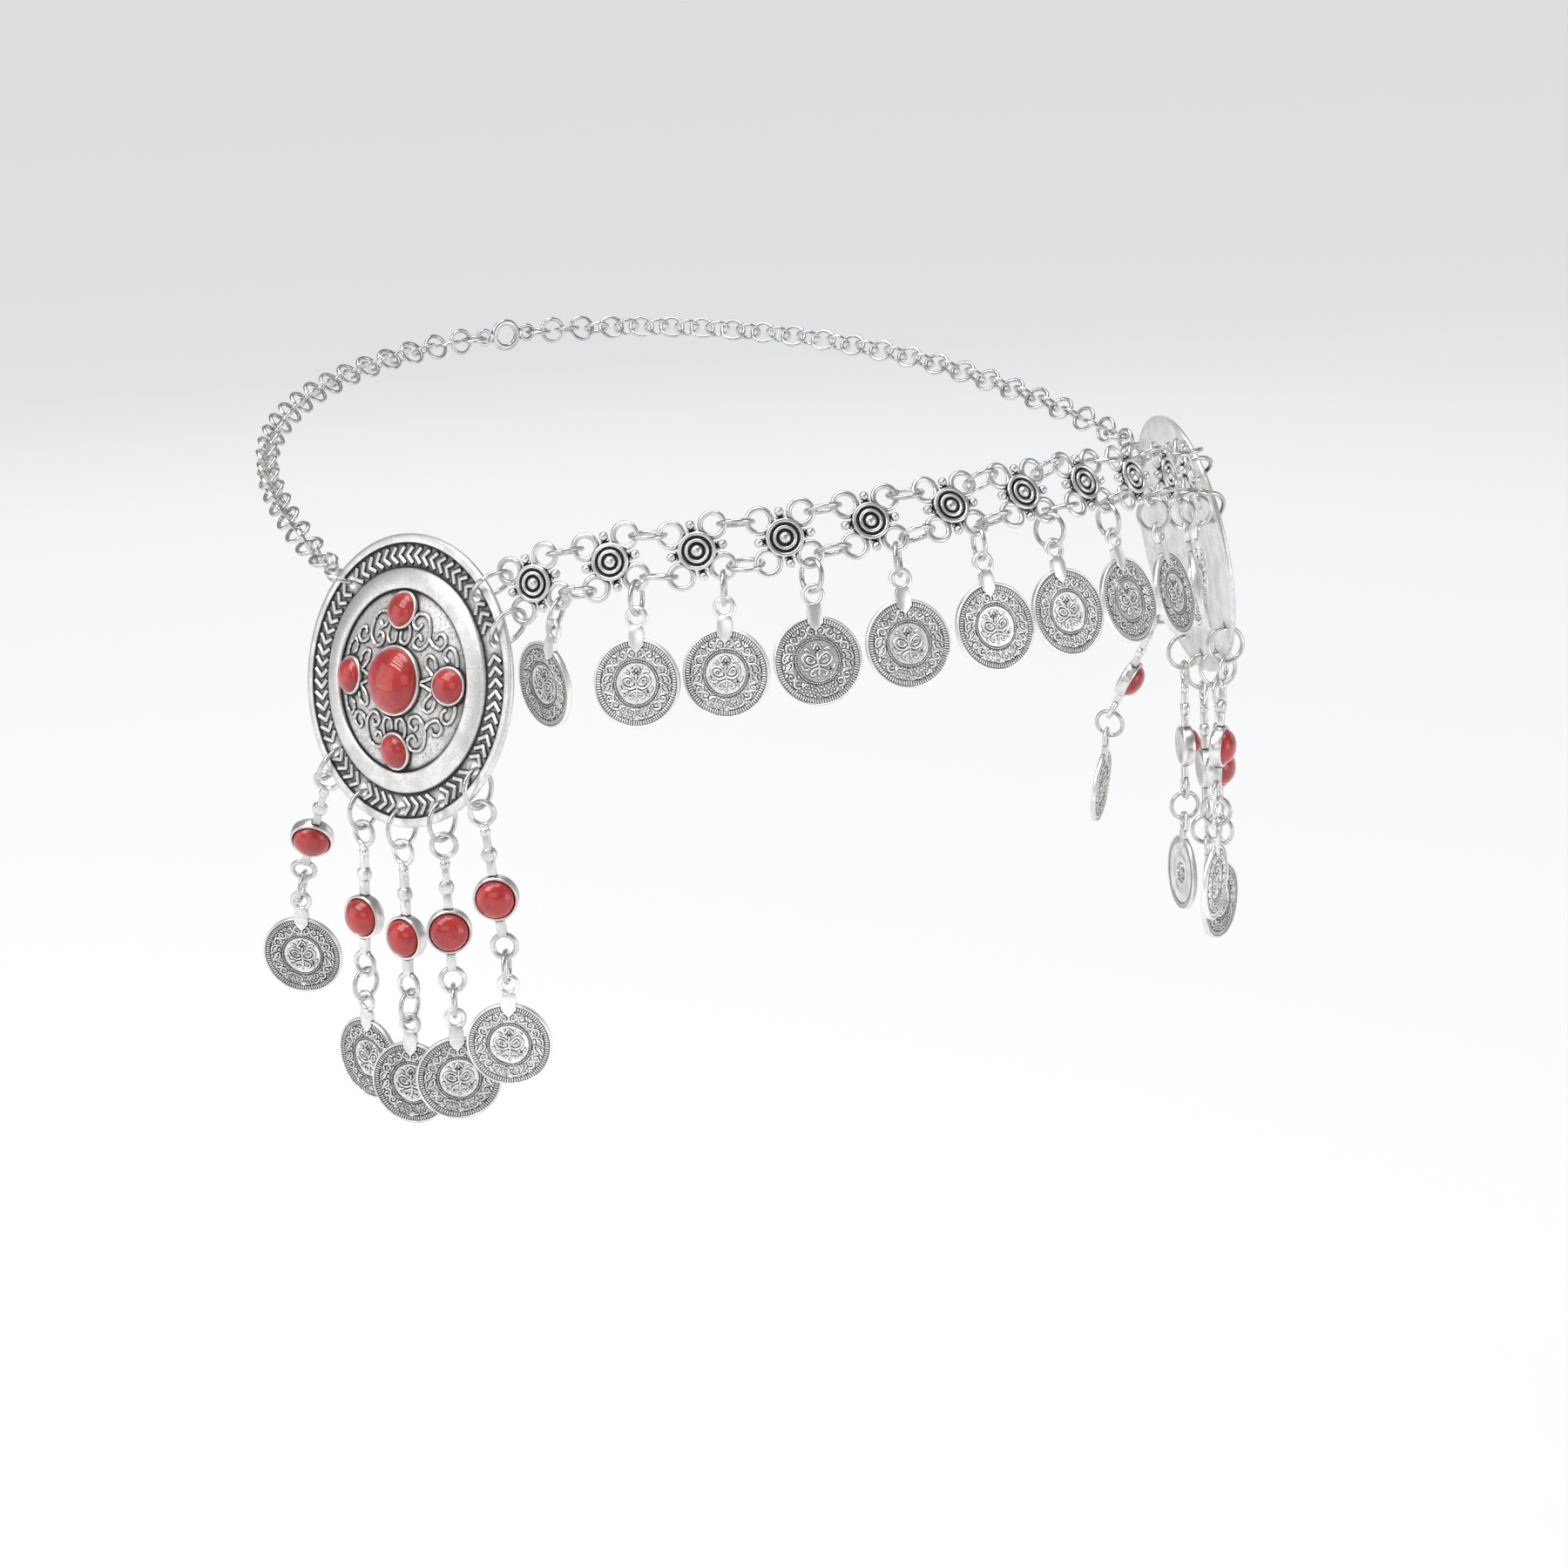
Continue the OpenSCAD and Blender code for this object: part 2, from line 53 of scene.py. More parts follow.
MM = 0.001
TAU = math.tau
SHARP = 40.0
Point = tuple[float, float, float]
Move = tuple[float, float]
Line = Sequence[Move]
Face = bmesh.types.BMFace
Mesh = bpy.types.Mesh
Socket = bpy.types.NodeSocket
Value = Socket | float
Inputs = dict[str | int, object]


def sin(degrees: float) -> float:
    """Sine of an angle in degrees."""
    return math.sin(math.radians(degrees))


def cos(degrees: float) -> float:
    """Cosine of an angle in degrees."""
    return math.cos(math.radians(degrees))


def turned(axis: str, degrees: float) -> Matrix:
    """Turning matrix about one axis, by an angle in degrees."""
    return Matrix.Rotation(math.radians(degrees), 3, axis)


def facing(heading: float, tilt: float = 0.0, spin: float = 0.0) -> Matrix:
    """Pose of a flat piece on the loop.

    Args:
        heading: Angle round the head from the middle of the forehead.
        tilt: How far its upper edge leans towards the head.
        spin: Turn in its own plane.

    Returns:
        Matrix whose X runs to the viewer's right, Y up and Z outward.
    """
    return turned("Z", heading) @ turned("X", 90 - tilt) @ turned("Z", spin)


def outward(heading: float, roll: float = 0.0) -> Vector:
    """Direction away from the head at a heading, rolled up by an angle."""
    return Vector((sin(heading) * cos(roll), -cos(heading) * cos(roll), sin(roll)))


def columns(x: Vector, y: Vector, z: Vector) -> Matrix:
    """Matrix with the three given columns."""
    return Matrix((x, y, z)).transposed()


def baked(name: str, bm: bmesh.types.BMesh) -> Mesh:
    """A mesh made from a finished bmesh, which is freed."""
    made = bpy.data.meshes.new(name)
    bm.to_mesh(made)
    bm.free()
    return made


def in_scene(name: str, data: bpy.types.ID) -> bpy.types.Object:
    """A new object of the scene."""
    made = bpy.data.objects.new(name, data)
    bpy.context.scene.collection.objects.link(made)
    return made


@dataclass(frozen=True)
class Place:
    """A point in millimetres and the turn of the piece there."""

    point: Vector
    turn: Matrix

    def spot(self, x: float, y: float, z: float = 0.0) -> Vector:
        """Point of the row's frame, in millimetres, for a point of the piece."""
        return self.point + self.turn @ Vector((x, y, z))

    def matrix(self) -> Matrix:
        """Four by four matrix of the place, still in millimetres."""
        return Matrix.Translation(self.point) @ self.turn.to_4x4()


@dataclass(frozen=True)
class HeadLoop:
    """Plan of the loop round the head: four arcs on each side."""

    front_r: float = 93.4
    front_half: float = 60.0
    temple_r: float = 77.7
    side_r: float = 125.0
    temple_turn: float = 75.7
    side_turn: float = 101.0

    def arcs(self) -> list[Point]:
        """Radius, first heading and last heading of the arcs of one side."""
        front = math.degrees(self.front_half / self.front_r)
        turns = [0.0, front, self.temple_turn, self.side_turn]
        radii = [self.front_r, self.temple_r, self.side_r]
        end_x = sum(r * (sin(b) - sin(a)) for r, a, b in zip(radii, turns, turns[1:]))
        radii.append(end_x / sin(self.side_turn))
        return list(zip(radii, turns, turns[1:] + [180.0]))

    def walk(self, length: float) -> Point:
        """Heading and plan place at a length along one half of the loop.

        Args:
            length: Length from the middle of the forehead.

        Returns:
            The heading, the way out to the side and the way back from the forehead.
        """
        x = y = 0.0
        for radius, start, end in self.arcs():
            turn = min(start + math.degrees(length / radius), end)
            x += radius * (sin(turn) - sin(start))
            y += radius * (cos(start) - cos(turn))
            if turn < end:
                break
            length -= radius * math.radians(end - start)
        return turn, x, y

    def half_length(self) -> float:
        """Length of one half of the loop."""
        return sum(r * math.radians(b - a) for r, a, b in self.arcs())

    def half_depth(self) -> float:
        """Half of the loop's depth from the forehead to the back."""
        return self.walk(self.half_length())[2] / 2

    def heading(self, length: float) -> float:
        """Heading at a signed length, positive to the wearer's left."""
        return math.copysign(self.walk(abs(length))[0], length)

    def at(self, length: float) -> Vector:
        """Point of the level loop at a signed length."""
        _, x, y = self.walk(abs(length))
        return Vector((math.copysign(x, length), y - self.half_depth(), 0.0))


def smooth_route(points: Line, fineness: float) -> list[Vector]:
    """Smooth flat route through points.

    Args:
        points: The points, in order.
        fineness: Wanted length of a step.

    Returns:
        The points of the route.
    """
    dots = [Vector((x, y, 0)) for x, y in points]
    ends = [dots[0], *dots, dots[-1]]
    route = [dots[0]]
    for a, b, c, d in zip(ends, ends[1:], ends[2:], ends[3:]):
        steps = max(1, round((c - b).length / fineness)) + 1
        route += interpolate_bezier(b, b + (c - a) / 6, c - (d - b) / 6, c, steps)[1:]
    return route


class Stamp:
    """One small closed shape, worked from a circle, a cube or a few points, in millimetres."""

    def __init__(self) -> None:
        """Starts with nothing."""
        self.bm = bmesh.new()

    def lathe(self, profile: Line, steps: int = 64) -> "Stamp":
        """Spins a profile of (radius, height) points round the Z axis."""
        verts = [self.bm.verts.new((r, 0.0, z)) for r, z in profile]
        edges = [self.bm.edges.new(pair) for pair in zip(verts, verts[1:])]
        bmesh.ops.spin(self.bm, geom=verts + edges, cent=(0, 0, 0), axis=(0, 0, 1),
                       angle=TAU, steps=steps, use_merge=True)
        return self

    def hoop(self, radius: float, wire: float, steps: int = 36, sides: int = 10,
             cut: float = 0.0, flat: float = 1.0) -> "Stamp":
        """A ring of wire in the XY plane.

        Args:
            radius: Middle radius of the ring.
            wire: Thickness of its wire.
            steps: Segments round the ring.
            sides: Segments round the wire.
            cut: Width of the saw cut where the ring was closed, or 0 for a whole ring.
            flat: Height of the wire's section over its width.

        Returns:
            The stamp itself.
        """
        section = (Matrix.Translation((radius, 0, 0)) @ Matrix.Rotation(math.pi / 2, 4, "X")
                   @ Matrix.Diagonal((1, flat, 1, 1)))
        bmesh.ops.create_circle(self.bm, cap_ends=cut > 0, segments=sides, radius=wire / 2,
                                matrix=section)
        geom = self.bm.verts[:] + self.bm.edges[:] + self.bm.faces[:]
        bmesh.ops.spin(self.bm, geom=geom, cent=(0, 0, 0), axis=(0, 0, 1),
                       angle=TAU - cut / radius, steps=steps, use_merge=cut == 0)
        return self

    def ball(self, across: float, detail: int = 2, flat: float = 1.0) -> "Stamp":
        """A ball, or a lower one where flat is under 1."""
        bmesh.ops.create_icosphere(self.bm, subdivisions=detail, radius=across / 2,
                                   matrix=Matrix.Diagonal((1, 1, flat, 1)))
        return self

    def block(self, size: Point, soft: float, segments: int = 1) -> "Stamp":
        """A block about the origin with soft edges."""
        bmesh.ops.create_cube(self.bm, size=1.0, matrix=Matrix.Diagonal((*size, 1)))
        return self.soften(soft, segments)

    def plate(self, outline: Line, low: float, high: float) -> "Stamp":
        """A flat plate with the given outline, between two heights."""
        face = self.bm.faces.new([self.bm.verts.new((x, y, low)) for x, y in outline])
        grown = bmesh.ops.extrude_face_region(self.bm, geom=[face], use_keep_orig=True)
        verts = [g for g in grown["geom"] if isinstance(g, bmesh.types.BMVert)]
        bmesh.ops.translate(self.bm, verts=verts, vec=(0, 0, high - low))
        return self

    def _end(self, at: Matrix, size: Move, sides: int) -> Face:
        """Flat end, of a width and a height, of a wire along the X axis of a place."""
        section = Matrix.Rotation(math.pi / 2, 4, "Y") @ Matrix.Diagonal(
            (size[1] / size[0], 1, 1, 1))
        rim = bmesh.ops.create_circle(self.bm, cap_ends=True, segments=sides,
                                      radius=size[0] / 2, matrix=at @ section)["verts"]
        return rim[0].link_faces[0]

    def _push(self, face: Face, way: Matrix) -> Face:
        """Extrudes an end face, moves the new one and returns it."""
        out = bmesh.ops.extrude_face_region(self.bm, geom=[face])["geom"]
        bmesh.ops.transform(self.bm, matrix=way,
                            verts=[g for g in out if isinstance(g, bmesh.types.BMVert)])
        return next(g for g in out if isinstance(g, Face))

    def wire(self, start: Point, moves: Line, size: Move, sides: int = 8,
             fineness: float = 0.35) -> "Stamp":
        """Draws a wire along straight runs and arcs in the XY plane.

        Args:
            start: Its first x and y, and its heading there.
            moves: A move is (0, length) for a straight run, or (radius, degrees), with a
                negative radius to turn right.
            size: Width and height of the wire.
            sides: Segments round the wire.
            fineness: Length of a step along an arc.

        Returns:
            The stamp itself.
        """
        x, y, heading = start
        spot = Vector((x, y, 0))
        turn = Matrix.Rotation(math.radians(heading), 4, "Z")
        face = self._end(Matrix.Translation(spot) @ turn, size, sides)
        for radius, amount in moves:
            if radius == 0:
                way = Vector((cos(heading), sin(heading), 0)) * amount
                face = self._push(face, Matrix.Translation(way))
                spot = spot + way
                continue
            side = math.copysign(1, radius)
            centre = spot + Vector((-sin(heading), cos(heading), 0)) * radius
            angle = side * math.radians(amount)
            steps = max(2, round(abs(radius * angle) / fineness))
            out = bmesh.ops.spin(self.bm, geom=[face, *face.edges, *face.verts], cent=centre,
                                 axis=(0, 0, 1), angle=angle, steps=steps,
                                 use_duplicate=False)["geom_last"]
            spot = centre + Matrix.Rotation(angle, 3, "Z") @ (spot - centre)
            heading += side * amount
            face = next(g for g in out if isinstance(g, Face))
        return self

    def trail(self, points: Line, size: Move, sides: int, fineness: float,
              knobs: bool = True) -> "Stamp":
        """Draws a smooth wire through points in the XY plane.

        Args:
            points: The points, in order.
            size: Width and height of the wire.
            sides: Segments round the wire.
            fineness: Length of a step along the wire.
            knobs: Whether both ends are rounded.

        Returns:
            The stamp itself.
        """
        route = smooth_route(points, fineness)
        ways = [(b - a).normalized() for a, b in zip(route, route[1:])]
        ways = [ways[0], *((a + b).normalized() for a, b in zip(ways, ways[1:])), ways[-1]]
        frames = [Matrix.Translation(spot) @ Matrix.Rotation(math.atan2(way.y, way.x), 4, "Z")
                  for spot, way in zip(route, ways)]
        face = self._end(frames[0], size, sides)
        for last, new in zip(frames, frames[1:]):
            face = self._push(face, new @ last.inverted())
        for spot in (route[0], route[-1]) if knobs else ():
            flat = Matrix.Diagonal((1, 1, size[1] / size[0], 1))
            bmesh.ops.create_icosphere(self.bm, subdivisions=1, radius=size[0] * 0.54,
                                       matrix=Matrix.Translation(spot) @ flat)
        return self

    def shift(self, x: float, y: float, z: float = 0.0) -> "Stamp":
        """Moves all that is there."""
        bmesh.ops.translate(self.bm, verts=self.bm.verts[:], vec=(x, y, z))
        return self

    def round_about(self, count: int) -> "Stamp":
        """Repeats all that is there, evenly round the Z axis."""
        geom = self.bm.verts[:] + self.bm.edges[:] + self.bm.faces[:]
        bmesh.ops.spin(self.bm, geom=geom, cent=(0, 0, 0), axis=(0, 0, 1),
                       angle=TAU * (count - 1) / count, steps=count - 1, use_duplicate=True)
        return self

    def soften(self, width: float, segments: int) -> "Stamp":
        """Bevels every sharp edge."""
        self.join()
        edges = [e for e in self.bm.edges if e.calc_face_angle(0) > math.radians(SHARP)]
        bmesh.ops.bevel(self.bm, geom=edges, offset=width, offset_type="OFFSET",
                        segments=segments, profile=0.5, affect="EDGES", clamp_overlap=True,
                        material=-1)
        return self

    def join(self) -> None:
        """Merges doubles and points every face outward."""
        bmesh.ops.remove_doubles(self.bm, verts=self.bm.verts[:], dist=1e-5)
        bmesh.ops.recalc_face_normals(self.bm, faces=self.bm.faces[:])

    def mesh(self) -> Mesh:
        """The finished shape as a mesh that castings copy."""
        self.join()
        return baked("stamp", self.bm)


class Casting:
    """Stamps joined into one piece, in millimetres."""

    def __init__(self) -> None:
        """Starts with nothing."""
        self.bm = bmesh.new()

    def add(self, shape: Mesh, at: Sequence[float] = (0, 0, 0), turn: Matrix | None = None,
            scale: Point = (1, 1, 1), finish: int = 0) -> "Casting":
        """Puts a copy of a stamp in place.

        Args:
            shape: The stamp's mesh.
            at: Where its origin goes.
            turn: Its turning matrix.
            scale: Stretch along its own axes; a negative one mirrors it.
            finish: Number of its material on the piece.

        Returns:
            The casting itself.
        """
        verts_before, faces_before = len(self.bm.verts), len(self.bm.faces)
        self.bm.from_mesh(shape)
        self.bm.verts.ensure_lookup_table()
        self.bm.faces.ensure_lookup_table()
        place = (Matrix.Translation(Vector(at)) @ (turn or Matrix.Identity(3)).to_4x4()
                 @ Matrix.Diagonal((*scale, 1)))
        bmesh.ops.transform(self.bm, matrix=place, verts=self.bm.verts[verts_before:])
        faces = self.bm.faces[faces_before:]
        for face in faces:
            face.material_index = finish
        if scale[0] * scale[1] * scale[2] < 0:
            bmesh.ops.reverse_faces(self.bm, faces=faces)
        return self

    def put(self, shape: Mesh, place: Place, finish: int = 0) -> "Casting":
        """Puts a copy of a stamp at a place."""
        return self.add(shape, place.point, place.turn, finish=finish)

    def moved(self, matrix: Matrix) -> "Casting":
        """The casting itself, with all that is there moved."""
        bmesh.ops.transform(self.bm, matrix=matrix, verts=self.bm.verts[:])
        return self

    def mesh(self) -> Mesh:
        """The joined shape as a mesh that other castings copy."""
        return baked("casting", self.bm)


@dataclass(frozen=True)
class Look:
    """Materials of a piece in the order of their numbers, the record's slot, which is not
    used, and the angle in degrees past which an edge stays sharp in the shading."""

    materials: tuple[bpy.types.Material, ...]
    slot: str
    crease: float = 50.0


def piece(name: str, casting: Casting, look: Look, *nodes: str) -> None:
    """Turns a casting into a piece of the visual model.

    Args:
        name: Plain name of the piece.
        casting: The joined shape in the row's frame, in millimetres.
        look: How its surface looks.
        *nodes: The construction nodes that it stands for.
    """
    bm = casting.moved(Matrix.Scale(MM, 4)).bm
    for face in bm.faces:
        face.smooth = True
    for edge in bm.edges:
        edge.smooth = edge.calc_face_angle(0) < math.radians(look.crease)
    made = in_scene(name, baked(name, bm))
    for material in look.materials:
        made.data.materials.append(material)
    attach(made, "root")
    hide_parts(*nodes)
    log.info("%s: %d faces", name, len(made.data.polygons))


class Wiring:
    """Short words for making the nodes of a material or a group."""

    def __init__(self, tree: bpy.types.NodeTree) -> None:
        """Works on one node tree."""
        self.tree = tree

    def feed(self, node: bpy.types.Node, values: Inputs) -> None:
        """Links sockets to a node's inputs, or sets plain values, by name or number."""
        for key, value in values.items():
            if isinstance(value, Socket):
                self.tree.links.new(value, node.inputs[key])
            else:
                node.inputs[key].default_value = value

    def node(self, kind: str, values: Inputs, **options: object) -> bpy.types.Node:
        """Adds a node.

        Args:
            kind: The node's type without its usual beginning.
            values: What its inputs take.
            **options: Settings of the node itself.

        Returns:
            The node.
        """
        made = self.tree.nodes.new("ShaderNode" + kind)
        for key, value in options.items():
            setattr(made, key, value)
        self.feed(made, values)
        return made

    def math(self, operation: str, *values: Value, clamp: bool = False) -> Socket:
        """Result of a Math node."""
        made = self.node("Math", dict(enumerate(values)), operation=operation, use_clamp=clamp)
        return made.outputs[0]

    def times(self, first: Value, second: Value) -> Socket:
        """Product of two values."""
        return self.math("MULTIPLY", first, second)

    def lack(self, value: Socket) -> Socket:
        """What a value lacks to 1."""
        return self.math("SUBTRACT", 1.0, value)

    def ramp(self, value: Value, low: float, high: float, to_low: float = 0.0,
             to_high: float = 1.0) -> Socket:
        """Smoothly clamped map of a value from one range to another."""
        made = self.node("MapRange", {0: value, 1: low, 2: high, 3: to_low, 4: to_high},
                         interpolation_type="SMOOTHSTEP")
        return made.outputs[0]

    def noise(self, where: Socket, scale: Value, detail: float = 2.0,
              roughness: float = 0.5) -> Socket:
        """Value of a Noise Texture."""
        made = self.node("TexNoise", {"Vector": where, "Scale": scale, "Detail": detail,
                                      "Roughness": roughness})
        return made.outputs[0]

    def mix(self, share: Socket, first: Socket | Point, second: Point) -> Socket:
        """Colour between a colour and another."""
        ends = {6: (*first, 1) if isinstance(first, tuple) else first, 7: (*second, 1)}
        return self.node("Mix", {0: share, **ends}, data_type="RGBA").outputs[2]

    def hollow(self, reach: Value, samples: int, inside: bool = False) -> Socket:
        """Share of the surroundings within reach that the surface leaves open."""
        made = self.node("AmbientOcclusion", {"Distance": reach}, samples=samples,
                         only_local=True, inside=inside)
        return made.outputs["AO"]

    def bump(self, strength: float, distance: float, height: Socket, invert: bool = False
             ) -> Socket:
        """Normal of a fine relief."""
        made = self.node("Bump", {"Strength": strength, "Distance": distance,
                                  "Height": height}, invert=invert)
        return made.outputs[0]

    def place(self) -> Socket:
        """The Object coordinates."""
        return self.node("TexCoord", {}).outputs["Object"]

    def group(self, tree: bpy.types.NodeTree, values: dict[str, float]
              ) -> bpy.types.bpy_prop_collection:
        """Outputs of a group that is placed with its own values."""
        return self.node("Group", values, node_tree=tree).outputs


def group(name: str, takes: dict[str, float], gives: Sequence[str]
          ) -> tuple[Wiring, bpy.types.bpy_prop_collection, bpy.types.Node]:
    """Starts a shader node group with float sockets.

    Args:
        name: The group's name.
        takes: Its inputs with their usual values.
        gives: Its outputs.

    Returns:
        The group's wiring, its input node's sockets and its output node.
    """
    w = Wiring(bpy.data.node_groups.new(name, "ShaderNodeTree"))
    for key, value in takes.items():
        w.tree.interface.new_socket(key, in_out="INPUT",
                                    socket_type="NodeSocketFloat").default_value = value
    for key in gives:
        w.tree.interface.new_socket(key, in_out="OUTPUT", socket_type="NodeSocketFloat")
    source = w.tree.nodes.new("NodeGroupInput")
    return w, source.outputs, w.tree.nodes.new("NodeGroupOutput")


def oxide_shade_group() -> bpy.types.NodeTree:
    """Group for the dark oxide and the painted shade that sit in recesses, with the oxide rubbed
    off raised edges.
    """
    w, take, target = group("Oxide and painted shade in recesses",
                            {"Reach": 0.0005, "Depth": 1.0, "Blotch": 1500.0},
                            ("Oxide and painted shade", "Rub"))
    # Painted shade: ambient occlusion within the piece darkens its recesses and the gaps between
    # its parts, together with the real dark oxide there.
    shut = w.lack(w.hollow(take["Reach"], 12))
    spots = w.noise(w.place(), take["Blotch"], 3.0)
    uneven = w.times(shut, w.ramp(spots, 0.2, 0.8, 0.75, 1.25))
    dark = w.ramp(w.times(uneven, take["Depth"]), 0.1, 0.34)
    edge = w.hollow(w.times(take["Reach"], 0.4), 4, inside=True)
    rub = w.math("MULTIPLY", w.lack(edge), w.lack(dark), clamp=True)
    w.feed(target, {"Oxide and painted shade": dark, "Rub": rub})
    return w.tree


def grain_group() -> bpy.types.NodeTree:
    """Group for the pits and the cloudy tone of a cast surface."""
    w, take, target = group("Cast grain", {"Pitch": 3000.0, "Cloud": 220.0},
                            ("Height", "Tone", "Pit"))
    where = w.place()
    fine = w.noise(where, take["Pitch"], 3.0, 0.6)
    coarse = w.noise(where, w.times(take["Pitch"], 0.31), 2.0)
    tone = w.ramp(w.noise(where, take["Cloud"], 4.0, 0.6), 0.3, 0.7)
    w.feed(target, {"Height": w.math("ADD", w.times(fine, 0.7), w.times(coarse, 0.3)),
                    "Tone": tone, "Pit": w.ramp(fine, 0.52, 0.66)})
    return w.tree


def vein_group() -> bpy.types.NodeTree:
    """Group for the clouds and the thin veins of an opaque stone."""
    w, take, target = group("Stone veins", {"Cloud": 260.0, "Vein": 520.0},
                            ("Clouding", "Veining"))
    where = w.place()
    clouds = w.ramp(w.noise(where, take["Cloud"], 5.0, 0.65), 0.32, 0.7)
    near = w.math("ABSOLUTE", w.math("SUBTRACT", w.noise(where, take["Vein"], 3.0, 0.7), 0.5))
    line = w.ramp(near, 0.0, 0.035, 1.0, 0.0)
    patchy = w.ramp(w.noise(where, w.times(take["Cloud"], 1.7), 2.0), 0.5, 0.7)
    w.feed(target, {"Clouding": clouds, "Veining": w.times(line, patchy)})
    return w.tree


class Effects:
    """The shader groups that the finishes share."""

    def __init__(self) -> None:
        """Builds each group once."""
        self.oxide_shade = oxide_shade_group()
        self.grain = grain_group()
        self.vein = vein_group()


def new_material(name: str) -> tuple[bpy.types.Material, Wiring, bpy.types.Node]:
    """A material with its wiring and its Principled BSDF."""
    material = bpy.data.materials.new(name)
    material.use_nodes = True
    tree = material.node_tree
    return material, Wiring(tree), tree.nodes["Principled BSDF"]


@dataclass(frozen=True)
class AntiqueSilver:
    """Silver finish on cast alloy: bright metal, with dark oxide and painted shade in the
    recesses.
    """

    name: str
    bright: Point = (0.80, 0.79, 0.77)
    dull: Point = (0.58, 0.57, 0.555)
    reach: float = 0.5
    depth: float = 1.0
    roughness: float = 0.27
    grain: float = 0.3
    pitch: float = 0.33
    pits: float = 0.15
    oxide_and_shade_colour: Point = (0.022, 0.021, 0.020)

    def material(self, effects: Effects) -> bpy.types.Material:
        """Builds the material from the shared groups."""
        made, w, shader = new_material(self.name)
        oxide_shade = w.group(effects.oxide_shade, {"Reach": self.reach * MM, "Depth": self.depth,
                                            "Blotch": 1400.0})
        grain = w.group(effects.grain, {"Pitch": 1 / (self.pitch * MM), "Cloud": 240.0})
        metal = w.mix(oxide_shade["Rub"], w.mix(grain["Tone"], self.dull, self.bright),
                      self.bright)
        dark = w.math("MAXIMUM", oxide_shade["Oxide and painted shade"], w.times(grain["Pit"], self.pits))
        matt = w.ramp(dark, 0.0, 1.0, self.roughness, 0.62)
        uneven = w.times(w.math("SUBTRACT", 0.6, grain["Tone"]), 0.1)
        shader.inputs["Metallic"].default_value = 1.0
        shader.inputs["Roughness"].default_value = self.roughness
        # Painted shade: the base colour turns to the dark colour in the recesses, and in the pits
        # of the grain.
        w.feed(shader, {"Base Color": w.mix(dark, metal, self.oxide_and_shade_colour),
                        "Metallic": w.ramp(dark, 0.0, 1.0, 1.0, 0.35),
                        "Roughness": w.math("ADD", matt, uneven),
                        "Normal": w.bump(self.grain, 0.06 * MM, grain["Height"])})
        return made


@dataclass(frozen=True)
class RedStone:
    """Polished opaque red stone with clouds and faint dark veins."""

    name: str = "red_stone"
    light: Point = (0.50, 0.030, 0.026)
    deep: Point = (0.29, 0.011, 0.012)
    vein: Point = (0.13, 0.006, 0.007)

    def material(self, effects: Effects) -> bpy.types.Material:
        """Builds the material from the shared groups."""
        made, w, shader = new_material(self.name)
        veins = w.group(effects.vein, {"Cloud": 230.0, "Vein": 420.0})
        body = w.mix(veins["Clouding"], self.light, self.deep)
        w.feed(shader, {
            "Specular IOR Level": 0.25, "Coat Weight": 1.0, "Coat Roughness": 0.02, "IOR": 1.52,
            "Base Color": w.mix(w.times(veins["Veining"], 0.75), body, self.vein),
            "Roughness": w.ramp(veins["Clouding"], 0.0, 1.0, 0.3, 0.4),
            "Normal": w.bump(0.15, 0.04 * MM, veins["Veining"], invert=True)})
        return made


class CoinTone(Enum):
    """How bright a coin's silver is painted: lit and shaded copies of one coin material, with
    painted shade of different depths in the recesses.
    """

    # Painted light and shade: the same coin silver, in a brighter and in darker copies for single
    # coins.
    BRIGHT = AntiqueSilver("coin_silver_bright", (0.96, 0.95, 0.93), (0.90, 0.89, 0.87),
                           reach=0.2, depth=1.35, roughness=0.3, grain=0.2)
    PLAIN = AntiqueSilver("coin_silver", (0.90, 0.89, 0.87), (0.74, 0.73, 0.71),
                          reach=0.24, depth=1.25, roughness=0.32)
    DARK = AntiqueSilver("coin_silver_dark", (0.88, 0.87, 0.85), (0.68, 0.67, 0.655),
                         reach=0.28, depth=1.35, roughness=0.34, grain=0.4, pits=0.2)


class Looks:
    """Every look of the head chain."""

    def __init__(self) -> None:
        """Builds the groups and the materials."""
        effects = Effects()
        cast = AntiqueSilver("cast_silver", (0.85, 0.84, 0.82), (0.60, 0.59, 0.575),
                             reach=0.48, depth=1.15, grain=0.22, pits=0.12)
        plate = AntiqueSilver("medallion_silver", (0.86, 0.85, 0.83), (0.66, 0.65, 0.63),
                              reach=0.6, roughness=0.36, grain=0.7, pitch=0.28, pits=0.3)
        # Grainy sanded field, with painted shade that darkens it beside the scrolls.
        sand = AntiqueSilver("sanded_silver_and_painted_shade", (0.84, 0.83, 0.81), (0.66, 0.65, 0.63),
                             reach=2.0, depth=1.5, roughness=0.42, grain=1.0, pitch=0.4,
                             pits=0.7)
        # Painted shade: the bottom of the chevron band, between the chevrons, is darkened deeply
        # as if in shadow.
        groove = AntiqueSilver("groove_silver_painted_shade", reach=1.9, depth=3.0, roughness=0.5,
                               grain=0.8, pitch=0.3, pits=0.6)
        wire = AntiqueSilver("wire_silver", (0.70, 0.69, 0.675), (0.48, 0.47, 0.46),
                             reach=0.6, depth=1.1, roughness=0.2, grain=0.12, pits=0.05)
        self.cast = Look((cast.material(effects),), "silver_alloy")
        self.medallion = Look(tuple(silver.material(effects) for silver in (plate, sand, groove)),
                              "silver_alloy")
        self.wire = Look((wire.material(effects),), "silver_wire")
        coins = {tone: tone.value.material(effects) for tone in CoinTone}
        self.coin = {tone: Look((made,), "coin_alloy", 65) for tone, made in coins.items()}
        self.any_coin = Look(tuple(coins.values()), "coin_alloy", 65)
        self.stone = Look((RedStone().material(effects),), "red_stone")


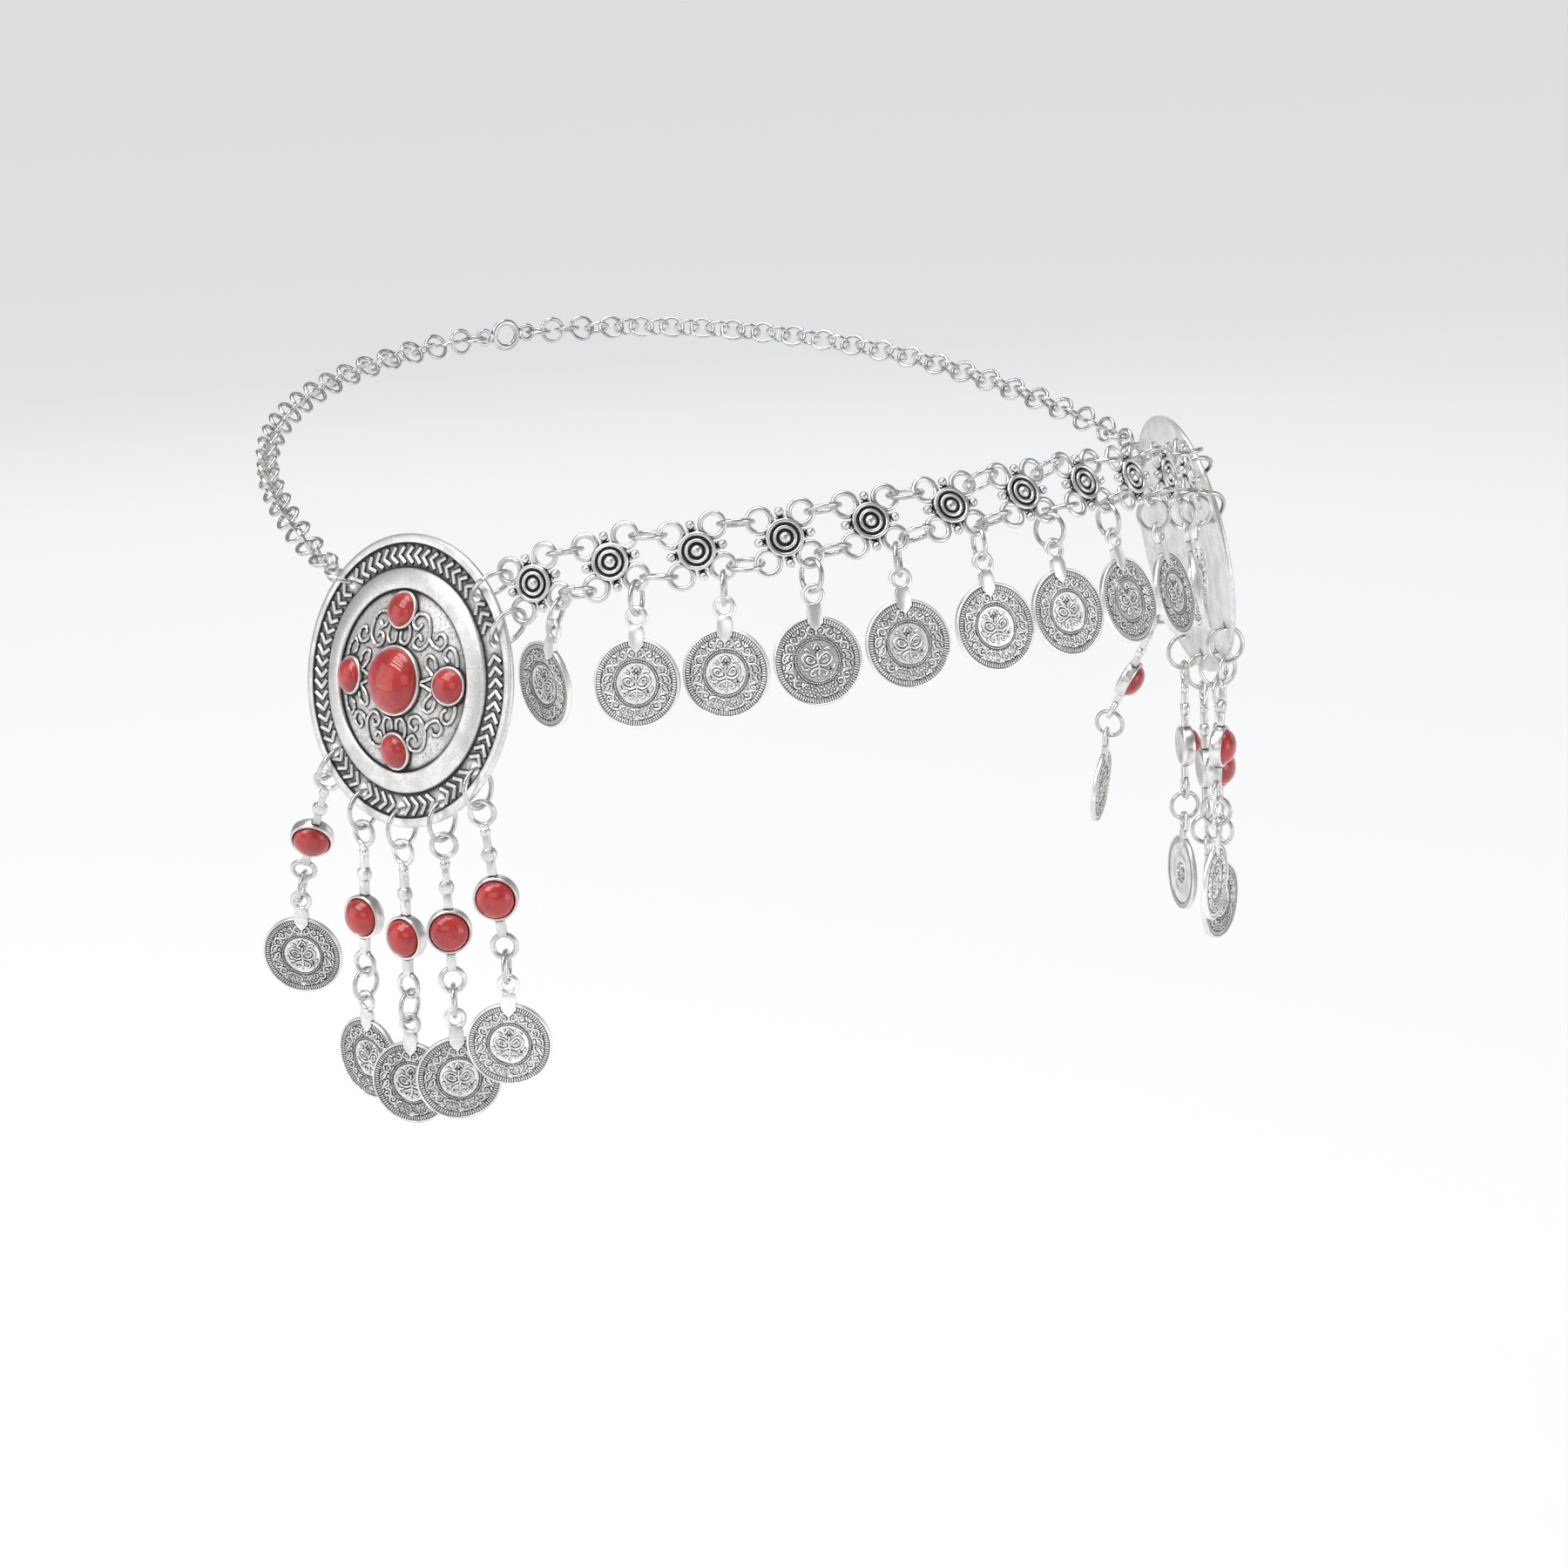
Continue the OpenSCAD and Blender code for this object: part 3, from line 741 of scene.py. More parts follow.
def dome_profile(radius: float, base: float, girdle: float, rise: float,
                 points: int) -> list[Move]:
    """Profile of a stone: a short straight girdle under a round dome.

    Args:
        radius: Radius of the stone.
        base: Height of its underside.
        girdle: Height of the straight edge.
        rise: Height of the dome over it.
        points: Points along the dome.

    Returns:
        The (radius, height) points.
    """
    top = base + girdle
    curve = [(radius * cos(90 * k / points), top + rise * sin(90 * k / points))
             for k in range(points)]
    return [(0.0, base), (radius - 0.2, base), (radius, base + 0.2), *curve, (0.0, top + rise)]


class Ring:
    """A jump ring of one size, sawn from a coil of round wire and closed by hand."""

    wire = 0.9
    saw_cut = 0.12

    def __init__(self, across: float, wire: float = wire, steps: int = 40, sides: int = 10
                 ) -> None:
        """Makes the shape for a middle diameter, in its own XY plane."""
        self.across = across
        self.shape = Stamp().hoop(across / 2, wire, steps, sides, self.saw_cut).mesh()

    def between(self, casting: Casting, a: Vector, b: Vector, side: Vector, cut_at: float,
                rest: float | None = None) -> None:
        """Puts a ring on the line from one point to another.

        Args:
            casting: Where the ring is added.
            a: First point.
            b: Second point.
            side: Direction that the ring's plane holds beside the line.
            cut_at: Angle of the saw cut round the ring.
            rest: Length behind the first point where the ring starts, or None to centre it.
        """
        u = (b - a).normalized()
        v = (side - side.dot(u) * u).normalized()
        centre = a + u * ((b - a).length / 2 if rest is None else rest + self.across / 2)
        casting.add(self.shape, centre, columns(u, v, u.cross(v)) @ turned("Z", cut_at))


@dataclass(frozen=True)
class Lie:
    """How one connector and the coin under it lie on the head."""

    lift: float
    tilt: float
    turn: float
    top_roll: float = 0.0
    low_roll: float = 0.0
    coin_tilt: float = 0.0
    coin_swing: float = 0.0
    coin_yaw: float = 0.0
    coin_roll: float = 0.0
    # The coin's painted brightness: one of the lit and shaded copies of the coin material.
    tone: CoinTone = CoinTone.BRIGHT


# The twelve connectors, from the wearer's right to the left.
LIES = (
    Lie(0.7, 10, 24, 12, 26, -12, -18, -30, 0),
    Lie(1.4, 14, 17, 4, 10, 13, 1, -2, -6),
    Lie(0.1, 13, 13, 18, -4, 12, 0, -12, 0),
    Lie(-0.6, 16, 8.5, 22, 26, 15, 0, 2, 30),
    Lie(-0.5, 27, 4.5, 2, 34, 17, 0, 2, -24),
    Lie(-0.3, 32, 1.5, 42, 30, 18, 1, 2, -8),
    Lie(0, 31, -2, 40, 14, 18, 0, 0, 20),
    Lie(0.2, 28, -5, 6, 34, 17, 0, 5, -10),
    Lie(0.1, 24, -8, 34, 26, 16, 0, 8, 12, CoinTone.PLAIN),
    Lie(-0.1, 14, -11, 0, 4, 13, 0, 19, -10, CoinTone.PLAIN),
    Lie(0.6, 14, -15, 14, -10, 1, 0, -3, 8),
    Lie(0.7, 14, -24),
)


@dataclass(frozen=True)
class Band:
    """Places of the connectors, the coins under them and the rings of the band."""

    loop: HeadLoop
    pitch: float = 15.6
    drop: float = 11.8
    end_slack: float = 0.7
    loop_reach: float = 3.8
    ring_d: float = 5.9
    band_ring_d: float = 6.2
    end_ring_d: float = 7.4
    end_rest: float = 0.35
    loop_rest: float = 0.85
    eye_rest: float = 0.6

    def length(self, i: int) -> float:
        """Signed length of a connector's middle along the loop."""
        last = len(LIES) - 1
        slack = self.end_slack if i == 0 else -self.end_slack if i == last else 0.0
        return (i - last / 2) * self.pitch + slack

    def heading(self, i: int) -> float:
        """Heading of a connector."""
        return self.loop.heading(self.length(i))

    def connector(self, i: int) -> Place:
        """Place of a connector."""
        lie, s = LIES[i], self.length(i)
        end = (len(LIES) - 1) / 2 * self.pitch
        z = -self.drop * (s / end) ** 2 + lie.lift
        return Place(self.loop.at(s) + Vector((0, 0, z)),
                     facing(self.heading(i), lie.tilt, lie.turn))

    def corner(self, i: int, x: int, y: int) -> Vector:
        """Middle of a connector's corner loop."""
        return self.connector(i).spot(x * self.loop_reach, y * self.loop_reach)

    def coin_hang(self, i: int) -> Matrix:
        """How the coin under a connector hangs, before it is turned about its own height."""
        return facing(self.heading(i), LIES[i].coin_tilt, LIES[i].coin_swing)

    def coin(self, i: int) -> Place:
        """Place of a coin's eye."""
        hang = self.coin_hang(i)
        down = self.loop_rest + self.ring_d + self.eye_rest
        return Place(self.corner(i, 1, -1) - down * hang.col[1],
                     hang @ turned("Y", LIES[i].coin_yaw))


@dataclass(frozen=True)
class Connector:
    """A flower connector: a boss with two raised rings and a dome, loops and balls."""

    reach: float = Band.loop_reach
    loop_r: float = 2.15
    loop_wire: float = 1.02
    ball_d: float = 1.7
    ball_spot: Point = (4.7, 0, 0.1)
    neck: Point = (2.2, 0.95, 0.6)
    neck_spot: Point = (3.4, 0, -0.25)
    granule_d: float = 0.62
    granule_spot: Point = (3.78, 0.6, 0.2)
    dash: Point = (0.16, 0.3, 0.5)
    dash_spot: Point = (2.62, 0, 0.3)
    dashes: int = 30
    boss: Line = (
        (0, -0.6), (3.15, -0.6), (3.38, -0.5), (3.46, -0.2), (3.46, 0.6), (3.4, 0.83),
        (3.22, 0.96), (2.92, 0.96), (2.76, 0.83), (2.68, 0.6), (2.66, 0.25), (2.24, 0.25),
        (2.22, 0.62), (2.16, 0.85), (2.0, 0.97), (1.78, 0.97), (1.62, 0.85), (1.55, 0.62),
        (1.53, 0.2), (1.1, 0.18), (1.08, 0.55), (0.98, 0.88), (0.74, 1.12), (0.42, 1.27),
        (0, 1.33))

    def shape(self) -> Mesh:
        """One connector about its own middle."""
        cast = Casting().add(Stamp().lathe(self.boss, 56).mesh())
        dash = Stamp().block(self.dash, 0.05).shift(*self.dash_spot)
        cast.add(dash.round_about(self.dashes).mesh())
        hoop = Stamp().hoop(self.loop_r, self.loop_wire, 34, flat=0.88).mesh()
        for x in (-1, 1):
            for y in (-1, 1):
                cast.add(hoop, (x * self.reach, y * self.reach, 0))
        ball = Stamp().ball(self.ball_d, 3).mesh()
        neck = Stamp().block(self.neck, 0.15).mesh()
        granule = Stamp().ball(self.granule_d).mesh()
        x, y, z = self.granule_spot
        for k in range(4):
            turn = turned("Z", 90 * k)
            cast.add(ball, turn @ Vector(self.ball_spot))
            cast.add(neck, turn @ Vector(self.neck_spot), turn)
            for side in (-1, 1):
                cast.add(granule, turn @ Vector((x, side * y, z)))
        return cast.mesh()


def opposite(line: Line) -> Line:
    """The same line turned half round its middle."""
    return tuple((-x, -y) for x, y in line)


TENDRIL = ((-0.1, 0.1), (-0.35, -0.5), (-0.9, -0.65), (-1.15, -0.2), (-0.85, 0.1))
THORN = ((-1.6, -0.35), (-1.35, -0.95))
LEAF = ((-1.65, -0.5), (-1.4, 0.4), (-0.7, 0.85), (0.0, 0.7), (-0.4, 0.1), (-1.65, -0.5))
LEAF_RIB = ((-1.2, -0.1), (-0.5, 0.45))
LEAF_STEM = ((-1.1, -0.85), (-0.5, -0.6))


class Motif(Enum):
    """Lines and dots of the small ornaments that follow one another round a coin."""

    VINE = ((((-1.7, 0.0), (-1.3, 0.55), (-0.8, 0.75), (-0.3, 0.4), (0.3, -0.4), (0.8, -0.75),
              (1.3, -0.55), (1.7, 0.0)),
             TENDRIL, opposite(TENDRIL), THORN, opposite(THORN)),
            ((0, 0.95), (0, -0.95), (-1.65, 0.85), (1.65, -0.85)))
    LEAVES = ((LEAF, opposite(LEAF), LEAF_RIB, opposite(LEAF_RIB), LEAF_STEM,
               opposite(LEAF_STEM)),
              ((-1.65, 0.6), (1.65, -0.6), (-0.35, -0.2), (0.35, 0.2)))
    BEADS = ((((-1.6, 0.1), (-1.2, 0.75), (-0.6, 0.85)), ((1.6, 0.1), (1.2, 0.75), (0.6, 0.85))),
             ((0, 0.85), (-0.3, 0.3), (0.3, 0.3), (-0.9, 0.3), (0.9, 0.3), (-1.4, -0.4),
              (-0.8, -0.3), (0, -0.25), (0.8, -0.3), (1.4, -0.4), (-1.1, -0.9), (-0.4, -0.8),
              (0.3, -0.85), (1.0, -0.9)))


BAND_OF_MOTIFS = (Motif.VINE, Motif.VINE, Motif.LEAVES, Motif.VINE, Motif.BEADS, Motif.BEADS,
                  Motif.VINE, Motif.LEAVES, Motif.VINE, Motif.VINE)
EMBLEM = ((
    ((0.0, -2.5), (0.15, -1.2), (-0.1, 0.3), (0.05, 1.6)),
    ((0.05, -0.5), (-1.1, -1.0), (-2.4, -0.4), (-2.75, 0.7), (-1.8, 1.3), (-0.7, 0.9),
     (-0.1, 0.2)),
    ((-0.5, -0.1), (-1.3, -0.35), (-2.0, 0.2), (-1.6, 0.75), (-0.95, 0.45)),
    ((0.05, -0.5), (1.2, -0.9), (2.3, -0.2), (2.5, 0.9), (1.6, 1.5), (0.6, 0.9), (0.1, 0.2)),
    ((0.6, -0.1), (1.35, -0.2), (1.8, 0.4), (1.4, 0.9), (0.85, 0.5)),
    ((0.0, 1.5), (-0.65, 2.1), (-0.35, 2.8), (0.05, 3.05)),
    ((0.05, 1.5), (0.7, 2.1), (0.4, 2.8), (0.05, 3.05)),
    ((0.05, -1.3), (-0.8, -1.5), (-1.5, -2.1), (-1.0, -2.65), (-0.55, -2.2)),
    ((0.1, -1.3), (0.95, -1.5), (1.6, -2.0), (1.15, -2.6), (0.65, -2.2)),
    ((-3.0, -0.5), (-2.7, -1.3), (-2.0, -1.5), (-1.5, -1.2)),
    ((3.0, -0.6), (2.6, -1.4), (2.0, -1.4), (1.7, -1.0)),
    ((-2.3, 2.0), (-1.7, 2.2), (-1.3, 1.8)),
    ((2.4, 2.0), (1.8, 2.3), (1.3, 2.0))),
    ((0, -3.05), (-1.5, 0.2), (1.4, 0.3), (0, 2.2), (-0.9, 2.8), (1.0, 2.8), (-2.2, -2.1),
     (2.2, -2.1)))


@dataclass(frozen=True)
class Coin:
    """A coin on a tongue with an eye. Its face has plain foliage in place of lettering."""

    drop: float = 11.6
    eye_r: float = 1.68
    eye_wire: float = 1.08
    stroke: Move = (0.45, 0.46)
    stroke_lift: float = 0.04
    dot_d: float = 0.5
    front: float = 0.3
    back: float = 0.4
    tooth: Point = (0.86, 0.29, 0.28)
    tooth_r: float = 7.1
    teeth: int = 100
    line_radii: tuple[float, ...] = (6.58, 4.3, 3.68)
    line_wire: float = 0.13
    bead_d: float = 0.34
    bead_r: float = 3.99
    beads: int = 72
    band_r: float = 5.42
    petals: int = 8
    petal_wire: Move = (0.3, 0.3)
    body: Line = (
        (0, -0.4), (6.5, -0.4), (7.5, -0.4), (7.6, -0.53), (7.85, -0.55), (8.0, -0.4),
        (8.0, 0.4), (7.88, 0.54), (7.66, 0.55), (7.56, 0.42), (7.5, 0.3), (6.5, 0.3),
        (4.2, 0.3), (0, 0.3))
    tongue: Line = (
        (-0.95, -1.4), (-1.4, -2.6), (-1.4, -4.8), (-0.85, -5.4), (0, -6.4), (0.85, -5.4),
        (1.4, -4.8), (1.4, -2.6), (0.95, -1.4))

    def _at(self, height: float) -> Vector:
        """Point over the middle of the coin's disc."""
        return Vector((0, -self.drop, height))

    def _reeding(self, cast: Casting, side: int, level: float) -> None:
        """Puts the teeth and the thin lines on the front (1) or the back (-1)."""
        turn = turned("Y", 90 - 90 * side)
        tooth = Stamp().block(self.tooth, 0.06).shift(self.tooth_r, 0).round_about(self.teeth)
        cast.add(tooth.mesh(), self._at(side * level), turn)
        for radius in self.line_radii:
            thin = Stamp().hoop(radius, self.line_wire, 60, 4).mesh()
            cast.add(thin, self._at(side * (level + 0.02)), turn)

    def _strokes(self, lines: Sequence[Line], dots: Line) -> Mesh:
        """A few raised lines and dots as one stamp."""
        stamp = Stamp()
        for line in lines:
            stamp.trail(line, self.stroke, 6, 0.42, knobs=False)
        cast = Casting().add(stamp.mesh())
        dot = Stamp().ball(self.dot_d, 1, 0.85).mesh()
        for x, y in dots:
            cast.add(dot, (x, y, 0))
        return cast.mesh()

    def shape(self) -> Mesh:
        """One coin about the middle of its eye."""
        cast = Casting().add(Stamp().lathe(self.body, 96).mesh(), self._at(0))
        self._reeding(cast, 1, self.front)
        self._reeding(cast, -1, self.back)
        bead = Stamp().ball(self.bead_d, 1).shift(self.bead_r, 0).round_about(self.beads)
        cast.add(bead.mesh(), self._at(self.front + 0.06))
        strokes = {motif: self._strokes(*motif.value) for motif in Motif}
        face = self._at(self.front + self.stroke_lift)
        step = 360 / len(BAND_OF_MOTIFS)
        for k, motif in enumerate(BAND_OF_MOTIFS):
            turn = turned("Z", -(k + 0.5) * step)
            cast.add(strokes[motif], face + turn @ Vector((0, self.band_r, 0)), turn,
                     (1, -1 if k % 2 else 1, 1))
        cast.add(self._strokes(*EMBLEM), face)
        petal = Stamp()
        for side in (-1, 1):
            petal.wire((0, 0.9, 90 + 40 * side), ((1.3 * side, 100),), self.petal_wire, 5)
        cast.add(petal.round_about(self.petals).mesh(), self._at(-self.back - self.stroke_lift))
        cast.add(Stamp().hoop(self.eye_r, self.eye_wire, 36, 12, flat=0.95).mesh())
        cast.add(Stamp().plate(self.tongue, -0.5, 0.6).soften(0.09, 2).mesh())
        return cast.mesh()


@dataclass(frozen=True)
class Temple:
    """Place of one medallion and of its ring holes: side is -1 at the wearer's right."""

    side: int
    word: str
    x: float
    tilt: float
    y: float = -35.0
    z: float = -30.6
    heading: float = 72.6
    spin: float = -3.1
    hole_reach: float = 23.5
    chain_hole: float = -44.0
    band_holes: tuple[float, ...] = (45.0, 68.0)
    drop_holes: tuple[float, ...] = (232.0, 206.0, 180.0, 154.0, 128.0)

    def place(self) -> Place:
        """Place of the medallion."""
        return Place(Vector((self.side * self.x, self.y, self.z)),
                     facing(self.side * self.heading, self.tilt, self.side * self.spin))

    def hole_point(self, angle: float) -> Vector:
        """Middle of a ring hole on the plate."""
        return self.hole_reach * Vector((-self.side * sin(angle), cos(angle), 0.0))

    def hole(self, angle: float) -> Vector:
        """Middle of a ring hole in the row's frame."""
        return self.place().spot(*self.hole_point(angle))

    def hole_points(self) -> list[Vector]:
        """Middles of all the ring holes on the plate."""
        angles = (self.chain_hole, *self.band_holes, *self.drop_holes)
        return [self.hole_point(angle) for angle in angles]


@dataclass(frozen=True)
class Medallion:
    """A plate with a rim, a chevron band, a smooth ring and a domed field with scrolls."""

    hole_d: float = 2.5
    chevrons: int = 69
    chevron: Move = (0.86, 0.9)
    chevron_start: Point = (24.6, -0.95, 137)
    chevron_r: float = 23.1
    chevron_z: float = 0.2
    hole_free: float = 1.3
    stone_d: float = 12.0
    small_d: float = 6.2
    small_reach: float = 12.9
    stone_play: float = 0.06
    field_r: float = 16.8
    field_z: float = 1.1
    dome_r: float = 64.0
    field_rings: int = 7
    groove: Move = (20.65, 25.3)
    thickness: float = 1.2
    scroll: Move = (0.68, 0.9)
    rim: Line = (
        (20.6, -0.2), (25.5, -0.5), (26.6, -0.6), (26.93, -0.5), (27.0, -0.25), (27.0, 0.1),
        (26.9, 0.36), (26.62, 0.51), (26.2, 0.57), (25.55, 0.6), (25.36, 0.54), (25.3, 0.14),
        (23.0, 0.2), (20.7, 0.28), (20.62, 0.74), (20.5, 0.93), (20.2, 1.08), (19.2, 1.42),
        (18.0, 1.67), (17.3, 1.75), (17.0, 1.72), (16.86, 1.6), (16.8, 1.04))
    quadrant: tuple[Line, ...] = (
        ((2.5, 10.2), (2.8, 9.3), (2.8, 7.9), (2.1, 6.9), (1.2, 6.9), (0.6, 7.7), (0.6, 8.8)),
        ((5.4, 10.5), (4.6, 9.7), (3.6, 10.2), (3.2, 11.3), (4.1, 12.4), (5.8, 12.4), (7.0, 11.4),
         (7.5, 9.8), (7.6, 8.2), (7.2, 7.2), (5.8, 6.1), (4.3, 6.5), (3.9, 7.5), (4.5, 8.4),
         (5.3, 8.6), (5.8, 7.9)),
        ((7.7, 8.1), (8.7, 7.0), (10.2, 6.5), (11.2, 7.0), (11.4, 8.2), (10.5, 9.2), (9.5, 9.1),
         (9.1, 8.3)),
        ((14.4, 3.7), (14.2, 5.2), (13.4, 6.5), (12.3, 6.9), (11.5, 6.1), (11.6, 5.0),
         (12.4, 4.4)),
        ((9.3, 1.6), (7.9, 2.9), (7.4, 3.9), (7.5, 4.8), (8.4, 5.1), (9.5, 4.4), (10.0, 3.0)),
        ((6.7, 0.2), (9.4, 1.3)))

    def height(self, r: float) -> float:
        """Height of the domed field at a distance from the middle."""
        edge = math.sqrt(self.dome_r ** 2 - self.field_r ** 2)
        return self.field_z + math.sqrt(self.dome_r ** 2 - min(r, self.field_r) ** 2) - edge

    def _seat(self, cast: Casting, shape: Mesh) -> None:
        """Puts a shape at each of the four small stones' places on the dome."""
        lean = math.degrees(math.asin(self.small_reach / self.dome_r))
        spot = Vector((self.small_reach, 0, self.height(self.small_reach)))
        for k in range(4):
            turn = turned("Z", 90 * k)
            cast.add(shape, turn @ spot, turn @ turned("Y", lean))

    def _plate(self, temple: Temple) -> Mesh:
        """The turned plate with its ring holes cut through."""
        rings = [self.field_r * k / self.field_rings for k in range(self.field_rings)]
        under = [(r, self.height(r) - self.thickness) for r in rings]
        over = [(r, self.height(r)) for r in reversed(rings)]
        body = in_scene("plate", Stamp().lathe((*under, *self.rim, *over), 144).mesh())
        r, far = self.hole_d / 2, 4
        bit = Stamp().lathe(((0, -far), (r, -far), (r, far), (0, far)), 20).mesh()
        drill = Casting()
        for point in temple.hole_points():
            drill.add(bit, point)
        tool = in_scene("drill", drill.mesh())
        cut = body.modifiers.new("holes", "BOOLEAN")
        cut.operation, cut.solver, cut.object = "DIFFERENCE", "EXACT", tool
        bpy.context.view_layer.update()
        drilled = bpy.data.meshes.new_from_object(
            body.evaluated_get(bpy.context.evaluated_depsgraph_get()))
        for made in (body, tool):
            bpy.data.objects.remove(made)
        return drilled

    def _bezel(self, stone_d: float, low: float, high: float, steps: int) -> Mesh:
        """The thin wall of a stone setting, rubbed over at the top."""
        r = stone_d / 2 + self.stone_play
        wall = ((r, low), (r + 0.42, low), (r + 0.46, high - 0.3), (r + 0.38, high - 0.1),
                (r + 0.2, high), (r, high - 0.06), (r - 0.1, high - 0.16), (r, high - 0.4),
                (r, low))
        return Stamp().lathe(wall, steps).mesh()

    def _scrolls(self) -> Mesh:
        """The scroll wires of one quarter, laid on the dome."""
        stamp = Stamp()
        for line in self.quadrant:
            stamp.trail(line, self.scroll, 8, 0.3)
        for vert in stamp.bm.verts:
            vert.co.z += self.height(vert.co.xy.length) + 0.02
        return stamp.mesh()

    def _paint(self, bm: bmesh.types.BMesh) -> None:
        """Gives the field and the bottom of the band their own finishes: the field's has painted
        shade near the scrolls, and the band's bottom is painted in deep shade.
        """
        for face in bm.faces:
            middle = face.calc_center_median()
            reach, up = middle.xy.length, face.normal.z
            if up > 0.5 and middle.z > self.height(reach) - 0.2 and reach < self.field_r:
                face.material_index = 1
            if up > 0.8 and self.groove[0] < reach < self.groove[1]:
                face.material_index = 2

    def casting(self, temple: Temple) -> Casting:
        """The medallion about its own middle."""
        cast = Casting().add(self._plate(temple))
        self._paint(cast.bm)
        half = (0, 2.0)
        chevron = Stamp().wire(self.chevron_start, (half, (0.14, 86), half), self.chevron)
        chevron = chevron.mesh()
        holes = temple.hole_points()
        for k in range(self.chevrons):
            turn = turned("Z", 360 * k / self.chevrons - 90)
            middle = turn @ Vector((self.chevron_r, 0, 0))
            if all((middle - hole).length > self.hole_free for hole in holes):
                cast.add(chevron, (0, 0, self.chevron_z), turn)
        scrolls = self._scrolls()
        for x in (-1, 1):
            for y in (-1, 1):
                cast.add(scrolls, scale=(x, y, 1))
        top = self.height(0)
        cast.add(self._bezel(self.stone_d, top - 0.6, top + 0.5, 80))
        self._seat(cast, self._bezel(self.small_d, -0.3, 0.7, 48))
        return cast

    def stones(self) -> Casting:
        """The large middle stone and the four small ones about the plate's middle."""
        large = dome_profile(self.stone_d / 2, base=0.1, girdle=0.4, rise=2.9, points=14)
        small = dome_profile(self.small_d / 2, base=0.1, girdle=0.6, rise=1.6, points=10)
        cast = Casting().add(Stamp().lathe(large, 72).mesh(), (0, 0, self.height(0)))
        self._seat(cast, Stamp().lathe(small, 48).mesh())
        return cast


@dataclass(frozen=True)
class Swing:
    """How one drop hangs: yaw, tilt and lean of its bar and then of its coin."""

    yaw: float
    tilt: float
    lean: float
    coin_yaw: float
    coin_tilt: float
    coin_lean: float
    # The coin's painted brightness: one of the lit and shaded copies of the coin material.
    tone: CoinTone = CoinTone.DARK


# The five drops of a medallion, from the back to the face.
SWINGS = (
    Swing(36, -12, -33, 30, -4, -8),
    Swing(5, 1, -4, 0, -2, -3),
    Swing(6, 1, -1, 22, 1, -2),
    Swing(44, 0, 0, 46, 0, 0, CoinTone.PLAIN),
    Swing(36, -5, 3, 36, 0, -3, CoinTone.BRIGHT),
)


@dataclass(frozen=True)
class Drops:
    """Places of the five drops under one medallion."""

    temple: Temple
    ring_d: float = 5.9
    drop_ring_d: float = 7.2
    drop_ring_share: float = 0.125
    bar_length: float = 25.8
    hole_rest: float = 0.2
    bar_rest: float = 1.1
    eye_rest: float = 0.6

    def hang(self, tilt: float, lean: float, yaw: float) -> Matrix:
        """Turn of something that hangs beside the head."""
        side = self.temple.side
        return facing(side * self.temple.heading, tilt, -side * lean) @ turned("Y", -side * yaw)

    def eye(self, i: int, y: float, yaw: float = 0.0) -> Place:
        """Place on the line of a bar, at a height over its hole."""
        swing = SWINGS[i]
        flat = Place(self.temple.hole(self.temple.drop_holes[i]),
                     self.hang(swing.tilt, swing.lean, 0))
        return Place(flat.spot(0, y), self.hang(swing.tilt, swing.lean, yaw))

    @property
    def top_y(self) -> float:
        """Height of a bar's upper eye over the hole."""
        return -self.hole_rest - self.drop_ring_d - self.bar_rest

    def ring(self, i: int) -> Place:
        """Place of a drop at its hole, turned as its upper ring."""
        return self.eye(i, 0, SWINGS[i].yaw * self.drop_ring_share)

    def bar(self, i: int) -> Place:
        """Place of a bar's upper eye."""
        return self.eye(i, self.top_y, SWINGS[i].yaw)

    def low_ring(self, i: int) -> Place:
        """Place of a bar's lower eye, turned as the ring between it and the coin."""
        s = SWINGS[i]
        turn = self.hang((s.tilt + s.coin_tilt) / 2, (s.lean + s.coin_lean) / 2,
                         (s.yaw + s.coin_yaw) / 2)
        return Place(self.eye(i, self.top_y - self.bar_length).point, turn)

    def coin(self, i: int) -> Place:
        """Place of a drop's coin."""
        s = SWINGS[i]
        reach = self.bar_rest + self.ring_d + self.eye_rest
        return Place(self.low_ring(i).spot(0, -reach),
                     self.hang(s.coin_tilt, s.coin_lean, s.coin_yaw))


